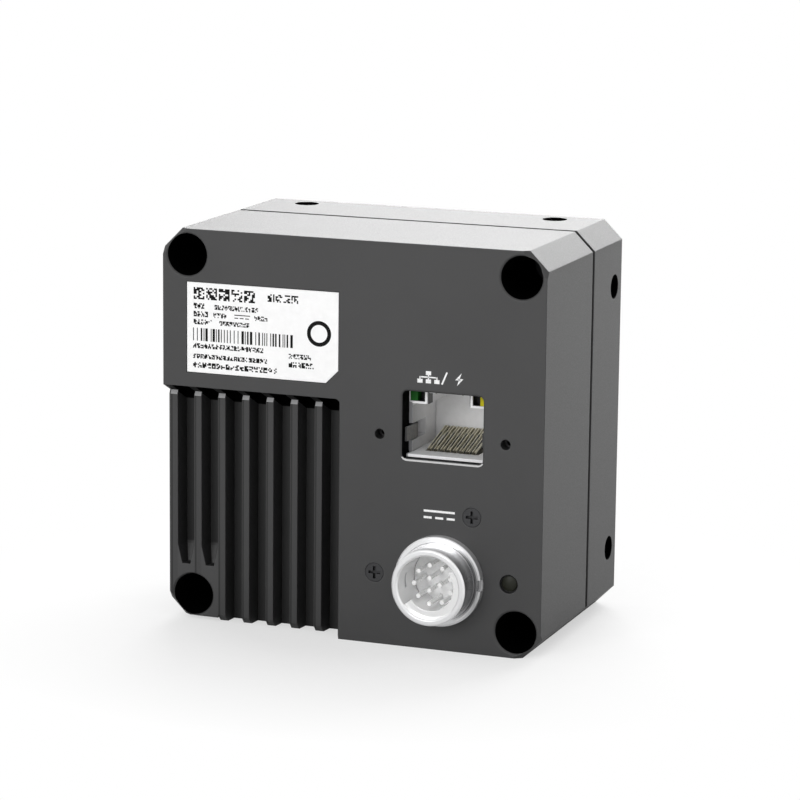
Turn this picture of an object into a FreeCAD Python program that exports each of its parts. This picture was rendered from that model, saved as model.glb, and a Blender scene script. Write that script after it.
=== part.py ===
import FreeCAD, Part
import math
import os

from FreeCAD import Vector

# A machine vision camera in a square metal housing of two shells.
# The front shell carries the threaded lens mount and the image sensor. The rear shell carries
# cooling ribs, a label, a network socket, a power connector and a status light.
#
# The origin is the centre of the lens mount in the front face. +Y points out of the mount,
# towards the lens. Seen from behind, +X is to the right. +Z is up. Sizes are in millimetres.
# A depth is measured backwards from the front face, so a depth of d lies at Y = -d.

# Housing shells
face_width = 62.0
face_height = 62.0
corner_cut = 3.0
front_length = 14.5
rear_length = 22.0
seam_width = 1.0
seam_inset = 1.0
side_wall = 3.5
port_wall = 3.0
rear_corner_bevel = 0.8
front_edge_bevel = 0.4

# Corner screws that clamp the shells together
screw_inset = 4.0
corner_post_radius = 4.6
clamp_shank = 3.0
clamp_shank_clearance = 0.2
clamp_head = 5.5
clamp_head_height = 3.0
clamp_socket = 2.5
clamp_socket_depth = 1.6
clamp_head_seat = 5.5
clamp_thread_reach = 8.0
clamp_bottom_gap = 1.0
counterbore = 6.5
counterbore_rim = 0.25

# Lens mount and filter window
mount_thread = 41.0
mount_thread_length = 5.0
mount_entry_bevel = 0.5
filter_bore = 39.6
filter_shoulder = 8.0
filter_thickness = 1.0
filter_side_clearance = 0.3
retaining_ring_height = 1.4
retaining_ring_band = 2.2
retaining_ring_slot = 1.2
window_bore = 34.0
front_wall = 9.5

# Mounting holes in the four sides of the front shell
side_hole = 3.8
side_hole_length = 5.0
side_hole_inset = 10.0
side_hole_depth = 4.0

# Seal between the shells
gasket_offset = 0.9
gasket_width = 1.0
gasket_height = 0.7

# Ribs in the lower left of the rear face
rib_count = 7
port_zone_width = 33.6
label_rib_gap = 2.3
rib_recess = 2.2
side_rib_width = 1.4
rib_width = 1.22
rib_height = 3.0
rib_draft = 0.25
rib_floor_metal = 1.8
ramp_height = 1.2
ramp_notch = 0.3
rib_end_bevel = 0.6
rib_foot_bevel = 1.0
zone_side_ramp = 0.95
zone_corner_radius = 0.8
rib_zone_side_metal = 2.5
short_groove_count = 2
short_groove_gap = 8.8
groove_run_out = 3.0
groove_end_width = 1.4
groove_end_depth = 1.8
pad_step = 0.6

# Label
label_width = 25.0
label_height = 14.0
label_side_inset = 4.0
label_top_inset = 8.2
label_corner_cut = 2.0
label_thickness = 0.2
label_recess = 0.3
label_clearance = 0.1

# Network socket
port_inset = 16.1
socket_centre_z = 3.4
socket_opening_width = 12.9
socket_opening_height = 10.5
socket_opening_radius = 0.8
socket_edge_bevel = 0.25
socket_width = 16.0
socket_below_centre = 5.9
socket_above_centre = 6.5
shield_thickness = 0.3
plug_width = 11.7
plug_body_height = 7.5
latch_step_width = 6.5
latch_step_height = 1.7
latch_tip_width = 4.1
latch_tip_height = 0.8
socket_back_wall = 1.0
socket_lip_length = 1.9
socket_lip_height = 0.45
socket_lip_gap = 0.2
socket_lip_side_gap = 0.35
led_window_inner = 3.8
led_window_width = 2.4
led_window_height = 1.9
led_window_depth = 1.5
led_window_rim = 0.35
led_window_rim_height = 0.3
led_lens_width = 1.2
led_lens_proud = 0.2
led_lens_gap = 0.05
finger_height = 2.2
finger_below_centre = 1.6
finger_slot_gap = 0.2
finger_root_depth = 5.5
finger_bend_depth = 1.9
finger_tip_reach = 2.1
finger_bend_inset = 0.15
finger_thickness = 0.25
finger_wall_gap = 0.15
contact_count = 8
contact_pitch = 1.02
contact_width = 0.6
contact_thickness = 0.36
contact_floor_gap = 0.03
contact_start_inset = 1.1
contact_back_gap = 1.3
contact_rise = 2.1
contact_loop_radius = 0.5
contact_loop_turn = 161.0
contact_return = 2.2

# Tapped holes beside the network socket, for a plug with locking screws
lock_hole = 1.6
lock_hole_spacing = 20.1
lock_hole_length = 2.2
lock_hole_below_centre = 1.7

# Power connector
connector_base_inset = 11.0
connector_tube = 11.75
connector_bore = 9.7
connector_reach = 5.6
connector_rim_bevel = 0.25
connector_thread = 12.1
connector_hole_clearance = 0.05
connector_thread_proud = 0.1
connector_flange = 15.0
connector_flange_height = 1.5
connector_gasket_height = 0.5
connector_gasket_band = 1.3
connector_barrel_length = 4.5
connector_insert_step = 0.3
connector_insert_depth = 7.3
connector_insert_clearance = 0.05
ring_nut = 13.9
ring_nut_height = 1.5
ring_nut_slot = 1.7
ring_nut_slot_floor = 0.5
ring_nut_slot_depth = 0.6
ring_nut_slots = 2
ring_nut_bevel = 0.25
keyway_width = 0.6
keyway_length = 2.2
keyway_depth = 0.4
keyway_from_rim = 3.2
key_ring_thickness = 1.1
key_ring_from_rim = 0.9
key_ring_turn = 38.0
pin_diameter = 0.7
pin_stand = 5.0
pin_hole_clearance = 0.03
outer_pin_count = 9
outer_pin_circle = 6.0
inner_pin_count = 3
inner_pin_circle = 2.2

# Status light
light_inset_x = 5.2
light_above_connector = 0.4
light_lens = 2.4
light_lens_height = 0.8
light_lens_clearance = 0.25
light_lens_sunk = 0.15
light_rod = 1.9
light_rod_clearance = 0.1
light_dome_rise = 0.3

# Flush screws in the rear face, placed from the power connector
cover_screw_places = ((4.9, 10.1), (-10.7, 0.1))
cover_screw_head = 2.9
cover_screw_head_height = 0.9
cover_screw_head_land = 0.25
cover_screw_shank = 2.0
cover_screw_reach = 5.2
cover_screw_clearance = 0.05
cross_width = 0.42
cross_length = 1.9
cross_depth = 0.6

# Board stack
board_thickness = 1.6
board_edge_gap = 0.6
sensor_board_depth = 13.6
main_board_depth = 18.2
board_gap_rear = 2.1
interface_board_reach = 14.5
chip_height = 1.5
thermal_pad_height = 0.5
chip_size = 15.0
chip_inset = 13.8
chip_centre_z = -4.0
thermal_boss_size = 13.0
memory_width = 7.5
memory_length = 8.0
memory_height = 1.0
memory_insets = (9.8, 17.9)
memory_chip_gap = 1.1
board_link_width = 3.0
board_link_length = 20.0
front_link_offset = 6.9
rear_link_inset = 2.6
board_link_wall = 0.5
standoff_across_flats = 4.0
spacer_across_flats = 4.2
post_diameter = 4.4
sensor_post_diameter = 5.0
sensor_post_inset = 11.0
left_post_inset_x = 8.5
left_post_inset_z = 10.5
small_screw_head = 3.6
small_screw_head_height = 1.2
small_screw_slot_length = 2.2
small_screw_slot_width = 0.7
small_screw_slot_depth = 0.6
small_screw_shank = 2.0
small_screw_hole_gap = 0.1
small_screw_thread_gap = 0.03
small_screw_reach = 4.0
sensor_screw_reach = 2.8
small_screw_tip_gap = 0.4

# Image sensor, with its surface at the flange distance
flange_distance = 12.0
sensor_width = 30.0
sensor_height = 26.0
sensor_die_width = 22.5
sensor_die_height = 16.9
sensor_die_thickness = 0.6
sensor_well_gap = 0.8
sensor_rim_height = 0.8
sensor_glass_gap = 1.4
sensor_glass_thickness = 0.7

# Parts on the interface board
transformer_width = 12.7
transformer_length = 7.0
transformer_height = 5.5
transformer_offset = 1.6
transformer_socket_gap = 1.2
inductor_size = 6.8
inductor_height = 4.0
inductor_corner = 1.0
inductor_offset = 9.6
inductor_socket_gap = 0.5
led_chip_width = 1.2
led_chip_length = 0.6
led_chip_height = 0.8

# Room by which a cutter runs past the surface that it cuts
past = 1.0

# Places that follow from the sizes
half_width = face_width / 2
half_height = face_height / 2
seam_depth = front_length
rear_shell_depth = front_length + seam_width
rear_face = rear_shell_depth + rear_length
pad_face = rear_face - rib_recess
groove_floor = pad_face - rib_height
heat_wall_inside = groove_floor - rib_floor_metal
port_wall_inside = rear_face - port_wall
screw_x = half_width - screw_inset
screw_z = half_height - screw_inset
port_x = half_width - port_inset
label_bottom_z = half_height - label_top_inset - label_height
rib_zone_right = half_width - port_zone_width
rib_zone_top = label_bottom_z - label_rib_gap
rib_zone_width = rib_zone_right + half_width
ribs_beside_first = rib_count - 1
groove_width = (rib_zone_width - side_rib_width - ribs_beside_first * rib_width) / rib_count
rib_pitch = groove_width + rib_width
pad_right = -half_width + side_rib_width + short_groove_count * rib_pitch - rib_width
socket_bottom_z = socket_centre_z - socket_below_centre
socket_top_z = socket_centre_z + socket_above_centre
connector_centre_z = -half_height + connector_base_inset
light_centre_z = connector_centre_z + light_above_connector
main_board_back = main_board_depth + board_thickness
interface_board_depth = main_board_back + board_gap_rear
interface_board_back = interface_board_depth + board_thickness
interface_board_left = port_x - interface_board_reach
sensor_board_back = sensor_board_depth + board_thickness
thermal_boss_face = main_board_back + chip_height + thermal_pad_height
chip_centre_x = -half_width + chip_inset
memory_bottom_z = chip_centre_z + chip_size / 2 + memory_chip_gap
front_link_x = port_x - front_link_offset
rear_link_x = interface_board_left + rear_link_inset
light_x = half_width - light_inset_x
clamp_head_bottom = seam_depth + clamp_head_seat
corner_signs = ((-1, 1), (1, 1), (1, -1), (-1, -1))

pieces = {}


def place(x, depth, z):
    """The point at x and z, that far behind the front face."""
    return Vector(x, -depth, z)


def block(x_low, x_high, depth_near, depth_far, z_low, z_high):
    """A box between two values along each direction."""
    corner = place(x_low, depth_far, z_low)
    return Part.makeBox(x_high - x_low, depth_far - depth_near, z_high - z_low, corner)


def centred_block(x, z, width, height, depth_near, depth_far):
    """A box of that width and height round a line along Y."""
    return block(x - width / 2, x + width / 2, depth_near, depth_far, z - height / 2, z + height / 2)


def rod(diameter, depth_near, depth_far, x=0.0, z=0.0):
    """A cylinder along Y."""
    length = depth_far - depth_near
    return Part.makeCylinder(diameter / 2, length, place(x, depth_far, z), Vector(0, 1, 0))


def tube(outer, inner, depth_near, depth_far, x=0.0, z=0.0):
    """A plain tube along Y."""
    hollow = rod(inner, depth_near - past, depth_far + past, x, z)
    return rod(outer, depth_near, depth_far, x, z).cut(hollow)


def turned(profile, x=0.0, z=0.0):
    """A turned solid about a line along Y. The profile lists pairs of radius and depth."""
    points = [place(x + radius, depth, z) for radius, depth in profile]
    points.append(points[0])
    face = Part.Face(Part.makePolygon(points))
    return face.revolve(place(x, 0, z), Vector(0, 1, 0), 360)


def outline_wire(outline, depth):
    """A closed wire through pairs of x and z at one depth."""
    points = [place(x, depth, z) for x, z in outline]
    points.append(points[0])
    return Part.makePolygon(points)


def plate(outline, depth_near, depth_far):
    """An outline of x and z pairs, made solid between two depths."""
    face = Part.Face(outline_wire(outline, depth_far))
    return face.extrude(Vector(0, depth_far - depth_near, 0))


def bar_along_x(profile, x_low, x_high):
    """A profile of depth and z pairs, made solid along X."""
    points = [place(x_low, depth, z) for depth, z in profile]
    points.append(points[0])
    return Part.Face(Part.makePolygon(points)).extrude(Vector(x_high - x_low, 0, 0))


def bar_along_z(profile, z_low, z_high):
    """A profile of x and depth pairs, made solid along Z."""
    points = [place(x, depth, z_low) for x, depth in profile]
    points.append(points[0])
    return Part.Face(Part.makePolygon(points)).extrude(Vector(0, 0, z_high - z_low))


def cut_corner_outline(half_x, half_z, cut):
    """A rectangle about the axis, with its four corners cut off at 45 degrees."""
    return [
        (-half_x + cut, half_z),
        (half_x - cut, half_z),
        (half_x, half_z - cut),
        (half_x, -half_z + cut),
        (half_x - cut, -half_z),
        (-half_x + cut, -half_z),
        (-half_x, -half_z + cut),
        (-half_x, half_z - cut),
    ]


def housing_outline(inset=0.0):
    """The outer outline of the housing, drawn in by a distance on every side."""
    corner_line_shift = inset * (2 - math.sqrt(2))
    return cut_corner_outline(half_width - inset, half_height - inset, corner_cut - corner_line_shift)


def cavity_outline(clearance=0.0):
    """The inside of the shells, which leaves metal round each clamp screw.
    A clearance draws it in on every side, and a negative one widens it."""
    half_x = half_width - side_wall - clearance
    half_z = half_height - side_wall - clearance
    corner_line = screw_x + screw_z - math.sqrt(2) * (corner_post_radius + clearance)
    return cut_corner_outline(half_x, half_z, half_x + half_z - corner_line)


def hexagon_outline(x, z, across_flats):
    """A hexagon with flats above and below."""
    radius = across_flats / math.sqrt(3)
    angles = [math.radians(60 * corner) for corner in range(6)]
    return [(x + radius * math.cos(angle), z + radius * math.sin(angle)) for angle in angles]


def rounded_wire(x, z, width, height, radius, depth):
    """A rectangle with rounded corners, as a wire at one depth."""
    right = x + width / 2 - radius
    left = x - width / 2 + radius
    top = z + height / 2 - radius
    bottom = z - height / 2 + radius
    diagonal = radius * math.sqrt(0.5)
    edges = []
    corners = ((right, top, 1, 1), (left, top, -1, 1), (left, bottom, -1, -1), (right, bottom, 1, -1))
    starts = []
    for corner_x, corner_z, sign_x, sign_z in corners:
        side_point = place(corner_x + sign_x * radius, depth, corner_z)
        middle = place(corner_x + sign_x * diagonal, depth, corner_z + sign_z * diagonal)
        top_point = place(corner_x, depth, corner_z + sign_z * radius)
        first, last = (side_point, top_point) if sign_x * sign_z > 0 else (top_point, side_point)
        starts.append((first, middle, last))
    for index, (first, middle, last) in enumerate(starts):
        edges.append(Part.Arc(first, middle, last).toShape())
        next_first = starts[(index + 1) % len(starts)][0]
        edges.append(Part.LineSegment(last, next_first).toShape())
    return Part.Wire(edges)


def group(solids):
    """Several separate solids as one piece of the list."""
    return Part.makeCompound(solids)


def clamp_screw_places():
    return [(sign_x * screw_x, sign_z * screw_z) for sign_x, sign_z in corner_signs]


def cover_screw_centres():
    return [(port_x + x, connector_centre_z + z) for x, z in cover_screw_places]


def left_post_centres():
    x = -half_width + left_post_inset_x
    z = half_height - left_post_inset_z
    return [(x, z), (x, -z)]


def sensor_post_centres():
    x = half_width - sensor_post_inset
    z = half_height - sensor_post_inset
    return [(sign_x * x, sign_z * z) for sign_x, sign_z in corner_signs]


# Front shell

def side_mounting_holes():
    """Two tapped holes in each of the four sides."""
    holes = []
    length = side_hole_length + past
    for sign_x, sign_z in corner_signs:
        x = sign_x * (half_width - side_hole_length)
        z = sign_z * (half_height - side_hole_inset)
        start = place(x, side_hole_depth, z)
        holes.append(Part.makeCylinder(side_hole / 2, length, start, Vector(sign_x, 0, 0)))
        x = sign_x * (half_width - side_hole_inset)
        z = sign_z * (half_height - side_hole_length)
        start = place(x, side_hole_depth, z)
        holes.append(Part.makeCylinder(side_hole / 2, length, start, Vector(0, 0, sign_z)))
    return holes


def make_front_housing():
    square_end = plate(housing_outline(), front_edge_bevel, front_length)
    front_edge = outline_wire(housing_outline(front_edge_bevel), 0)
    full_edge = outline_wire(housing_outline(), front_edge_bevel)
    bevelled_end = Part.makeLoft([front_edge, full_edge], True, True)
    shell = square_end.fuse(bevelled_end)
    shell = shell.cut(plate(cavity_outline(), front_wall, front_length + past))
    mount_radius = mount_thread / 2
    filter_radius = filter_bore / 2
    mount_bore = turned(
        [
            (0, -past),
            (mount_radius + mount_entry_bevel + past, -past),
            (mount_radius, mount_entry_bevel),
            (mount_radius, mount_thread_length),
            (filter_radius, mount_thread_length),
            (filter_radius, filter_shoulder),
            (window_bore / 2, filter_shoulder),
            (window_bore / 2, front_wall + past),
            (0, front_wall + past),
        ]
    )
    shell = shell.cut(mount_bore)
    posts = []
    for x, z in sensor_post_centres():
        posts.append(rod(sensor_post_diameter, front_wall - past, sensor_board_depth, x, z))
    shell = shell.fuse(posts)
    cutters = side_mounting_holes()
    thread = clamp_shank + 2 * small_screw_thread_gap
    for x, z in clamp_screw_places():
        bottom = seam_depth - clamp_thread_reach - clamp_bottom_gap
        cutters.append(rod(thread, bottom, seam_depth + past, x, z))
    post_thread = small_screw_shank + 2 * small_screw_thread_gap
    for x, z in sensor_post_centres():
        bottom = sensor_board_depth - sensor_screw_reach - small_screw_tip_gap
        cutters.append(rod(post_thread, bottom, sensor_board_depth + past, x, z))
    cutters.append(gasket_ring(seam_depth + past))
    return shell.cut(cutters)


def gasket_ring(depth_far):
    """The seal's ring outside the cavity, from the bottom of its groove to a depth."""
    groove_floor_depth = seam_depth - gasket_height
    outside = plate(cavity_outline(-gasket_offset - gasket_width), groove_floor_depth, depth_far)
    inside = plate(cavity_outline(-gasket_offset), groove_floor_depth - past, depth_far + past)
    return outside.cut(inside)


def make_housing_gasket():
    return gasket_ring(seam_depth)


# Rear shell

def corner_bevel_cutter(sign_x, sign_z, face_depth):
    """The wedge that bevels the edge between a cut corner and the face at that depth."""
    corner_distance = (half_width + half_height - corner_cut) / math.sqrt(2)
    profile = [
        (corner_distance + past, face_depth - rear_corner_bevel - past),
        (corner_distance + past, face_depth + past),
        (corner_distance - rear_corner_bevel - past, face_depth + past),
    ]
    outward = Vector(1, 0, 1) / math.sqrt(2)
    along = Vector(-1, 0, 1) / math.sqrt(2)
    middle = Vector(half_width - half_height, 0, half_height - half_width) / 2
    reach = 2 * (corner_cut + rear_corner_bevel)
    start = middle - along * reach
    points = [start + outward * distance + Vector(0, -depth, 0) for distance, depth in profile]
    points.append(points[0])
    wedge = Part.Face(Part.makePolygon(points)).extrude(along * 2 * reach)
    if sign_x < 0:
        wedge = wedge.mirror(Vector(0, 0, 0), Vector(1, 0, 0))
    if sign_z < 0:
        wedge = wedge.mirror(Vector(0, 0, 0), Vector(0, 0, 1))
    return wedge


def rib_zone_cutters():
    """The recess that the ribs stand in: a sloped step under the label, a notch, the rib faces,
    a sloped side towards the ports and a bevel along the ribs' feet."""
    step = bar_along_x(
        [
            (rear_face + past, rib_zone_top),
            (rear_face, rib_zone_top),
            (pad_face - ramp_notch, rib_zone_top - ramp_height),
            (pad_face, rib_zone_top - ramp_height - rib_end_bevel),
            (pad_face, -half_height - past),
            (rear_face + past, -half_height - past),
        ],
        -half_width - past,
        rib_zone_right,
    )
    side = bar_along_z(
        [
            (rib_zone_right - past, pad_face),
            (rib_zone_right, pad_face),
            (rib_zone_right + zone_side_ramp, rear_face),
            (rib_zone_right + zone_side_ramp, rear_face + past),
            (rib_zone_right - past, rear_face + past),
        ],
        -half_height - past,
        rib_zone_top,
    )
    round_x = rib_zone_right + zone_side_ramp - zone_corner_radius
    round_z = rib_zone_top - zone_corner_radius
    corner = block(
        round_x,
        round_x + zone_corner_radius + past,
        pad_face,
        rear_face + 2 * past,
        round_z,
        round_z + zone_corner_radius + past,
    )
    corner = corner.cut(rod(2 * zone_corner_radius, pad_face - past, rear_face + 3 * past, round_x, round_z))
    foot = bar_along_x(
        [
            (pad_face - rib_foot_bevel - past, -half_height - past),
            (pad_face + past, -half_height - past),
            (pad_face + past, -half_height + rib_foot_bevel + past),
        ],
        pad_right,
        rib_zone_right,
    )
    pad_relief = block(
        -half_width - past,
        pad_right,
        groove_floor,
        rear_face + past,
        -half_height - past,
        -half_height + pad_step,
    )
    return [step.cut(corner), side.cut(corner), foot, pad_relief]


def groove_section(left, right):
    """The cross-section of one groove, as x and depth pairs."""
    return [
        (left, rear_face + past),
        (left, pad_face),
        (left + rib_draft, groove_floor),
        (right - rib_draft, groove_floor),
        (right, pad_face),
        (right, rear_face + past),
    ]


def groove_run_out_cutter(left, right, z_full, z_end):
    """The narrowing, rising end of a groove that stops above the corner screw."""
    middle = (left + right) / 2
    half_end = groove_end_width / 2
    full = [
        (left, pad_face),
        (left + rib_draft, groove_floor),
        (right - rib_draft, groove_floor),
        (right, pad_face),
    ]
    end = [
        (middle - half_end, pad_face),
        (middle - half_end + rib_draft, pad_face - groove_end_depth),
        (middle + half_end - rib_draft, pad_face - groove_end_depth),
        (middle + half_end, pad_face),
    ]
    wires = []
    for section, z in ((full, z_full), (end, z_end)):
        points = [place(x, depth, z) for x, depth in section]
        points.append(points[0])
        wires.append(Part.makePolygon(points))
    return Part.makeLoft(wires, True, True)


def groove_cutters():
    cutters = []
    for index in range(rib_count):
        left = -half_width + side_rib_width + index * rib_pitch
        right = left + groove_width
        if index < short_groove_count:
            z_end = -half_height + short_groove_gap
            z_full = z_end + groove_run_out
            cutters.append(bar_along_z(groove_section(left, right), z_full, rib_zone_top))
            cutters.append(groove_run_out_cutter(left, right, z_full, z_end))
        else:
            cutters.append(bar_along_z(groove_section(left, right), -half_height - past, rib_zone_top))
    return cutters


def rear_cavity():
    """The hollow of the rear shell: deep behind the ports and the label, shallower behind the ribs."""
    hollow = plate(cavity_outline(), seam_depth - past, port_wall_inside)
    heat_block_right = rib_zone_right + rib_zone_side_metal
    heat_block_top = rib_zone_top + rib_floor_metal
    heat_block = block(
        -half_width - past,
        heat_block_right,
        heat_wall_inside,
        rear_face,
        -half_height - past,
        heat_block_top,
    )
    return hollow.cut(heat_block)


def socket_opening_cutter():
    radius = socket_opening_radius
    width = socket_opening_width
    height = socket_opening_height
    bevel = socket_edge_bevel
    start = rounded_wire(port_x, socket_centre_z, width, height, radius, port_wall_inside - past)
    face = rounded_wire(port_x, socket_centre_z, width, height, radius, rear_face - bevel)
    wide = width + 2 * bevel
    high = height + 2 * bevel
    flare = rounded_wire(port_x, socket_centre_z, wide, high, radius + bevel, rear_face)
    straight = Part.makeLoft([start, face], True, True)
    flared = Part.makeLoft([face, flare], True, True)
    return straight.fuse(flared)


def cover_screw_hole(x, z):
    """A countersunk hole that keeps the screw flush with the rear face."""
    head = cover_screw_head / 2 + cover_screw_clearance
    shank = cover_screw_shank / 2 + cover_screw_clearance
    return turned(
        [
            (0, rear_face + past),
            (head, rear_face + past),
            (head, rear_face - cover_screw_head_land),
            (shank, rear_face - cover_screw_head_height),
            (shank, port_wall_inside - past),
            (0, port_wall_inside - past),
        ],
        x,
        z,
    )


def corner_counterbore(x, z, face_depth):
    """A deep hole for a clamp screw, with a slightly bevelled rim."""
    radius = counterbore / 2
    return turned(
        [
            (0, clamp_head_bottom),
            (radius, clamp_head_bottom),
            (radius, face_depth - counterbore_rim),
            (radius + counterbore_rim + past, face_depth + past),
            (0, face_depth + past),
        ],
        x,
        z,
    )


def label_outline(clearance):
    """The label's outline, with its lower right corner cut off. A clearance widens it."""
    left = -half_width + label_side_inset - clearance
    right = -half_width + label_side_inset + label_width + clearance
    top = half_height - label_top_inset + clearance
    bottom = label_bottom_z - clearance
    cut = label_corner_cut + clearance * (2 - math.sqrt(2))
    return [(left, top), (right, top), (right, bottom + cut), (right - cut, bottom), (left, bottom)]


def light_hole():
    rod_hole = light_rod + light_rod_clearance
    seat = rear_face - light_lens_sunk - light_lens_height
    deep = rod(rod_hole, port_wall_inside - past, rear_face, light_x, light_centre_z)
    wide = rod(light_lens + 2 * light_lens_clearance, seat, rear_face + past, light_x, light_centre_z)
    return deep.fuse(wide)


def make_rear_housing():
    shell = plate(housing_outline(), rear_shell_depth, rear_face)
    shell = shell.fuse(plate(housing_outline(seam_inset), seam_depth, rear_shell_depth + past))
    shell = shell.cut(rear_cavity())
    posts = []
    for x, z in left_post_centres():
        posts.append(rod(post_diameter, main_board_back, port_wall_inside + past, x, z))
    thermal_boss = centred_block(
        chip_centre_x,
        chip_centre_z,
        thermal_boss_size,
        thermal_boss_size,
        thermal_boss_face,
        heat_wall_inside + past,
    )
    posts.append(thermal_boss)
    shell = shell.fuse(posts)
    cutters = rib_zone_cutters() + groove_cutters()
    for sign_x, sign_z in corner_signs:
        on_pad = sign_x < 0 and sign_z < 0
        face_depth = pad_face if on_pad else rear_face
        cutters.append(corner_bevel_cutter(sign_x, sign_z, face_depth))
        x = sign_x * screw_x
        z = sign_z * screw_z
        cutters.append(corner_counterbore(x, z, face_depth))
        cutters.append(rod(clamp_shank + 2 * clamp_shank_clearance, seam_depth - past, rear_face, x, z))
    cutters.append(plate(label_outline(label_clearance), rear_face - label_recess, rear_face + past))
    cutters.append(socket_opening_cutter())
    hole = connector_thread + 2 * connector_hole_clearance
    cutters.append(rod(hole, port_wall_inside - past, rear_face + past, port_x, connector_centre_z))
    for x, z in cover_screw_centres():
        cutters.append(cover_screw_hole(x, z))
    lock_z = socket_centre_z - lock_hole_below_centre
    for sign in (-1, 1):
        x = port_x + sign * lock_hole_spacing / 2
        cutters.append(rod(lock_hole, rear_face - lock_hole_length, rear_face + past, x, lock_z))
    cutters.append(light_hole())
    thread = small_screw_shank + 2 * small_screw_thread_gap
    reach = small_screw_reach + small_screw_tip_gap
    for x, z in left_post_centres():
        cutters.append(rod(thread, main_board_back - past, main_board_back + reach, x, z))
    return shell.cut(cutters)


# Fasteners

def make_clamp_screws():
    """Socket head screws, with their heads deep in the corner holes."""
    screws = []
    head_top = clamp_head_bottom + clamp_head_height
    for x, z in clamp_screw_places():
        head = rod(clamp_head, clamp_head_bottom, head_top, x, z)
        shank = rod(clamp_shank, seam_depth - clamp_thread_reach, clamp_head_bottom, x, z)
        socket = plate(hexagon_outline(x, z, clamp_socket), head_top - clamp_socket_depth, head_top + past)
        screws.append(head.fuse(shank).cut(socket).removeSplitter())
    return group(screws)


def make_cover_screws():
    """Flush screws with a cross recess, which hold the standoffs of the interface board."""
    screws = []
    for x, z in cover_screw_centres():
        body = turned(
            [
                (0, rear_face),
                (cover_screw_head / 2, rear_face),
                (cover_screw_head / 2, rear_face - cover_screw_head_land),
                (cover_screw_shank / 2, rear_face - cover_screw_head_height),
                (cover_screw_shank / 2, rear_face - cover_screw_reach),
                (0, rear_face - cover_screw_reach),
            ],
            x,
            z,
        )
        recess = [
            centred_block(x, z, cross_length, cross_width, rear_face - cross_depth, rear_face + past),
            centred_block(x, z, cross_width, cross_length, rear_face - cross_depth, rear_face + past),
        ]
        screws.append(body.cut(recess))
    return group(screws)


def small_screw(x, z, head_seat, tip):
    """A pan head screw whose head rests at head_seat and whose shank runs backwards or forwards to tip."""
    direction = 1 if tip > head_seat else -1
    head_far = head_seat - direction * small_screw_head_height
    head = rod(small_screw_head, min(head_seat, head_far), max(head_seat, head_far), x, z)
    shank = rod(small_screw_shank, min(head_seat, tip), max(head_seat, tip), x, z)
    slot_floor = head_far + direction * small_screw_slot_depth
    slot = centred_block(
        x,
        z,
        small_screw_slot_length,
        small_screw_slot_width,
        min(head_far, slot_floor),
        max(head_far, slot_floor),
    )
    return head.fuse(shank).cut(slot).removeSplitter()


def make_sensor_board_screws():
    tip = sensor_board_depth - sensor_screw_reach
    return group([small_screw(x, z, sensor_board_back, tip) for x, z in sensor_post_centres()])


def make_stack_screws():
    """Screws through the main board: short ones into the posts on the left, and long ones through
    both boards into the standoffs on the right."""
    screws = []
    short_tip = main_board_back + small_screw_reach
    for x, z in left_post_centres():
        screws.append(small_screw(x, z, main_board_depth, short_tip))
    long_tip = interface_board_back + small_screw_reach
    for x, z in cover_screw_centres():
        screws.append(small_screw(x, z, main_board_depth, long_tip))
    return group(screws)


def make_board_standoffs():
    """Threaded hexagonal standoffs between the rear wall and the interface board."""
    thread = small_screw_shank + 2 * small_screw_thread_gap
    standoffs = []
    for x, z in cover_screw_centres():
        bar = plate(hexagon_outline(x, z, standoff_across_flats), interface_board_back, port_wall_inside)
        standoffs.append(bar.cut(rod(thread, interface_board_back - past, port_wall_inside + past, x, z)))
    return group(standoffs)


def make_board_spacers():
    """Hexagonal spacers between the two boards."""
    hole = small_screw_shank + 2 * small_screw_hole_gap
    spacers = []
    for x, z in cover_screw_centres():
        bar = plate(hexagon_outline(x, z, spacer_across_flats), main_board_back, interface_board_depth)
        spacers.append(bar.cut(rod(hole, main_board_back - past, interface_board_depth + past, x, z)))
    return group(spacers)


# Lens mount parts and image sensor

def make_filter_glass():
    diameter = filter_bore - 2 * filter_side_clearance
    return rod(diameter, filter_shoulder - filter_thickness, filter_shoulder)


def make_filter_retaining_ring():
    """A flat ring with two slots for its key."""
    glass_front = filter_shoulder - filter_thickness
    ring_front = glass_front - retaining_ring_height
    outer = filter_bore - filter_side_clearance
    inner = outer - 2 * retaining_ring_band
    ring = tube(outer, inner, ring_front, glass_front)
    slot_floor = ring_front + retaining_ring_height / 2
    slots = centred_block(0, 0, outer + past, retaining_ring_slot, ring_front - past, slot_floor)
    return ring.cut(slots)


def make_sensor_package():
    """The ceramic body, with a well for the die and a ledge for its glass."""
    front = flange_distance - sensor_rim_height
    body = centred_block(0, 0, sensor_width, sensor_height, front, sensor_board_depth)
    well_width = sensor_die_width + 2 * sensor_well_gap
    well_height = sensor_die_height + 2 * sensor_well_gap
    well_floor = flange_distance + sensor_die_thickness
    return body.cut(centred_block(0, 0, well_width, well_height, front - past, well_floor))


def make_sensor_die():
    floor = flange_distance + sensor_die_thickness
    return centred_block(0, 0, sensor_die_width, sensor_die_height, flange_distance, floor)


def make_sensor_cover_glass():
    back = flange_distance - sensor_rim_height
    width = sensor_width - 2 * sensor_glass_gap
    height = sensor_height - 2 * sensor_glass_gap
    return centred_block(0, 0, width, height, back - sensor_glass_thickness, back)


# Boards and the parts on them

def board_with_holes(outline, depth, holes):
    board = plate(outline, depth, depth + board_thickness)
    hole = small_screw_shank + 2 * small_screw_hole_gap
    cutters = [rod(hole, depth - past, depth + board_thickness + past, x, z) for x, z in holes]
    return board.cut(cutters)


def make_sensor_board():
    return board_with_holes(cavity_outline(board_edge_gap), sensor_board_depth, sensor_post_centres())


def make_main_board():
    holes = left_post_centres() + cover_screw_centres()
    return board_with_holes(cavity_outline(board_edge_gap), main_board_depth, holes)


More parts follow.
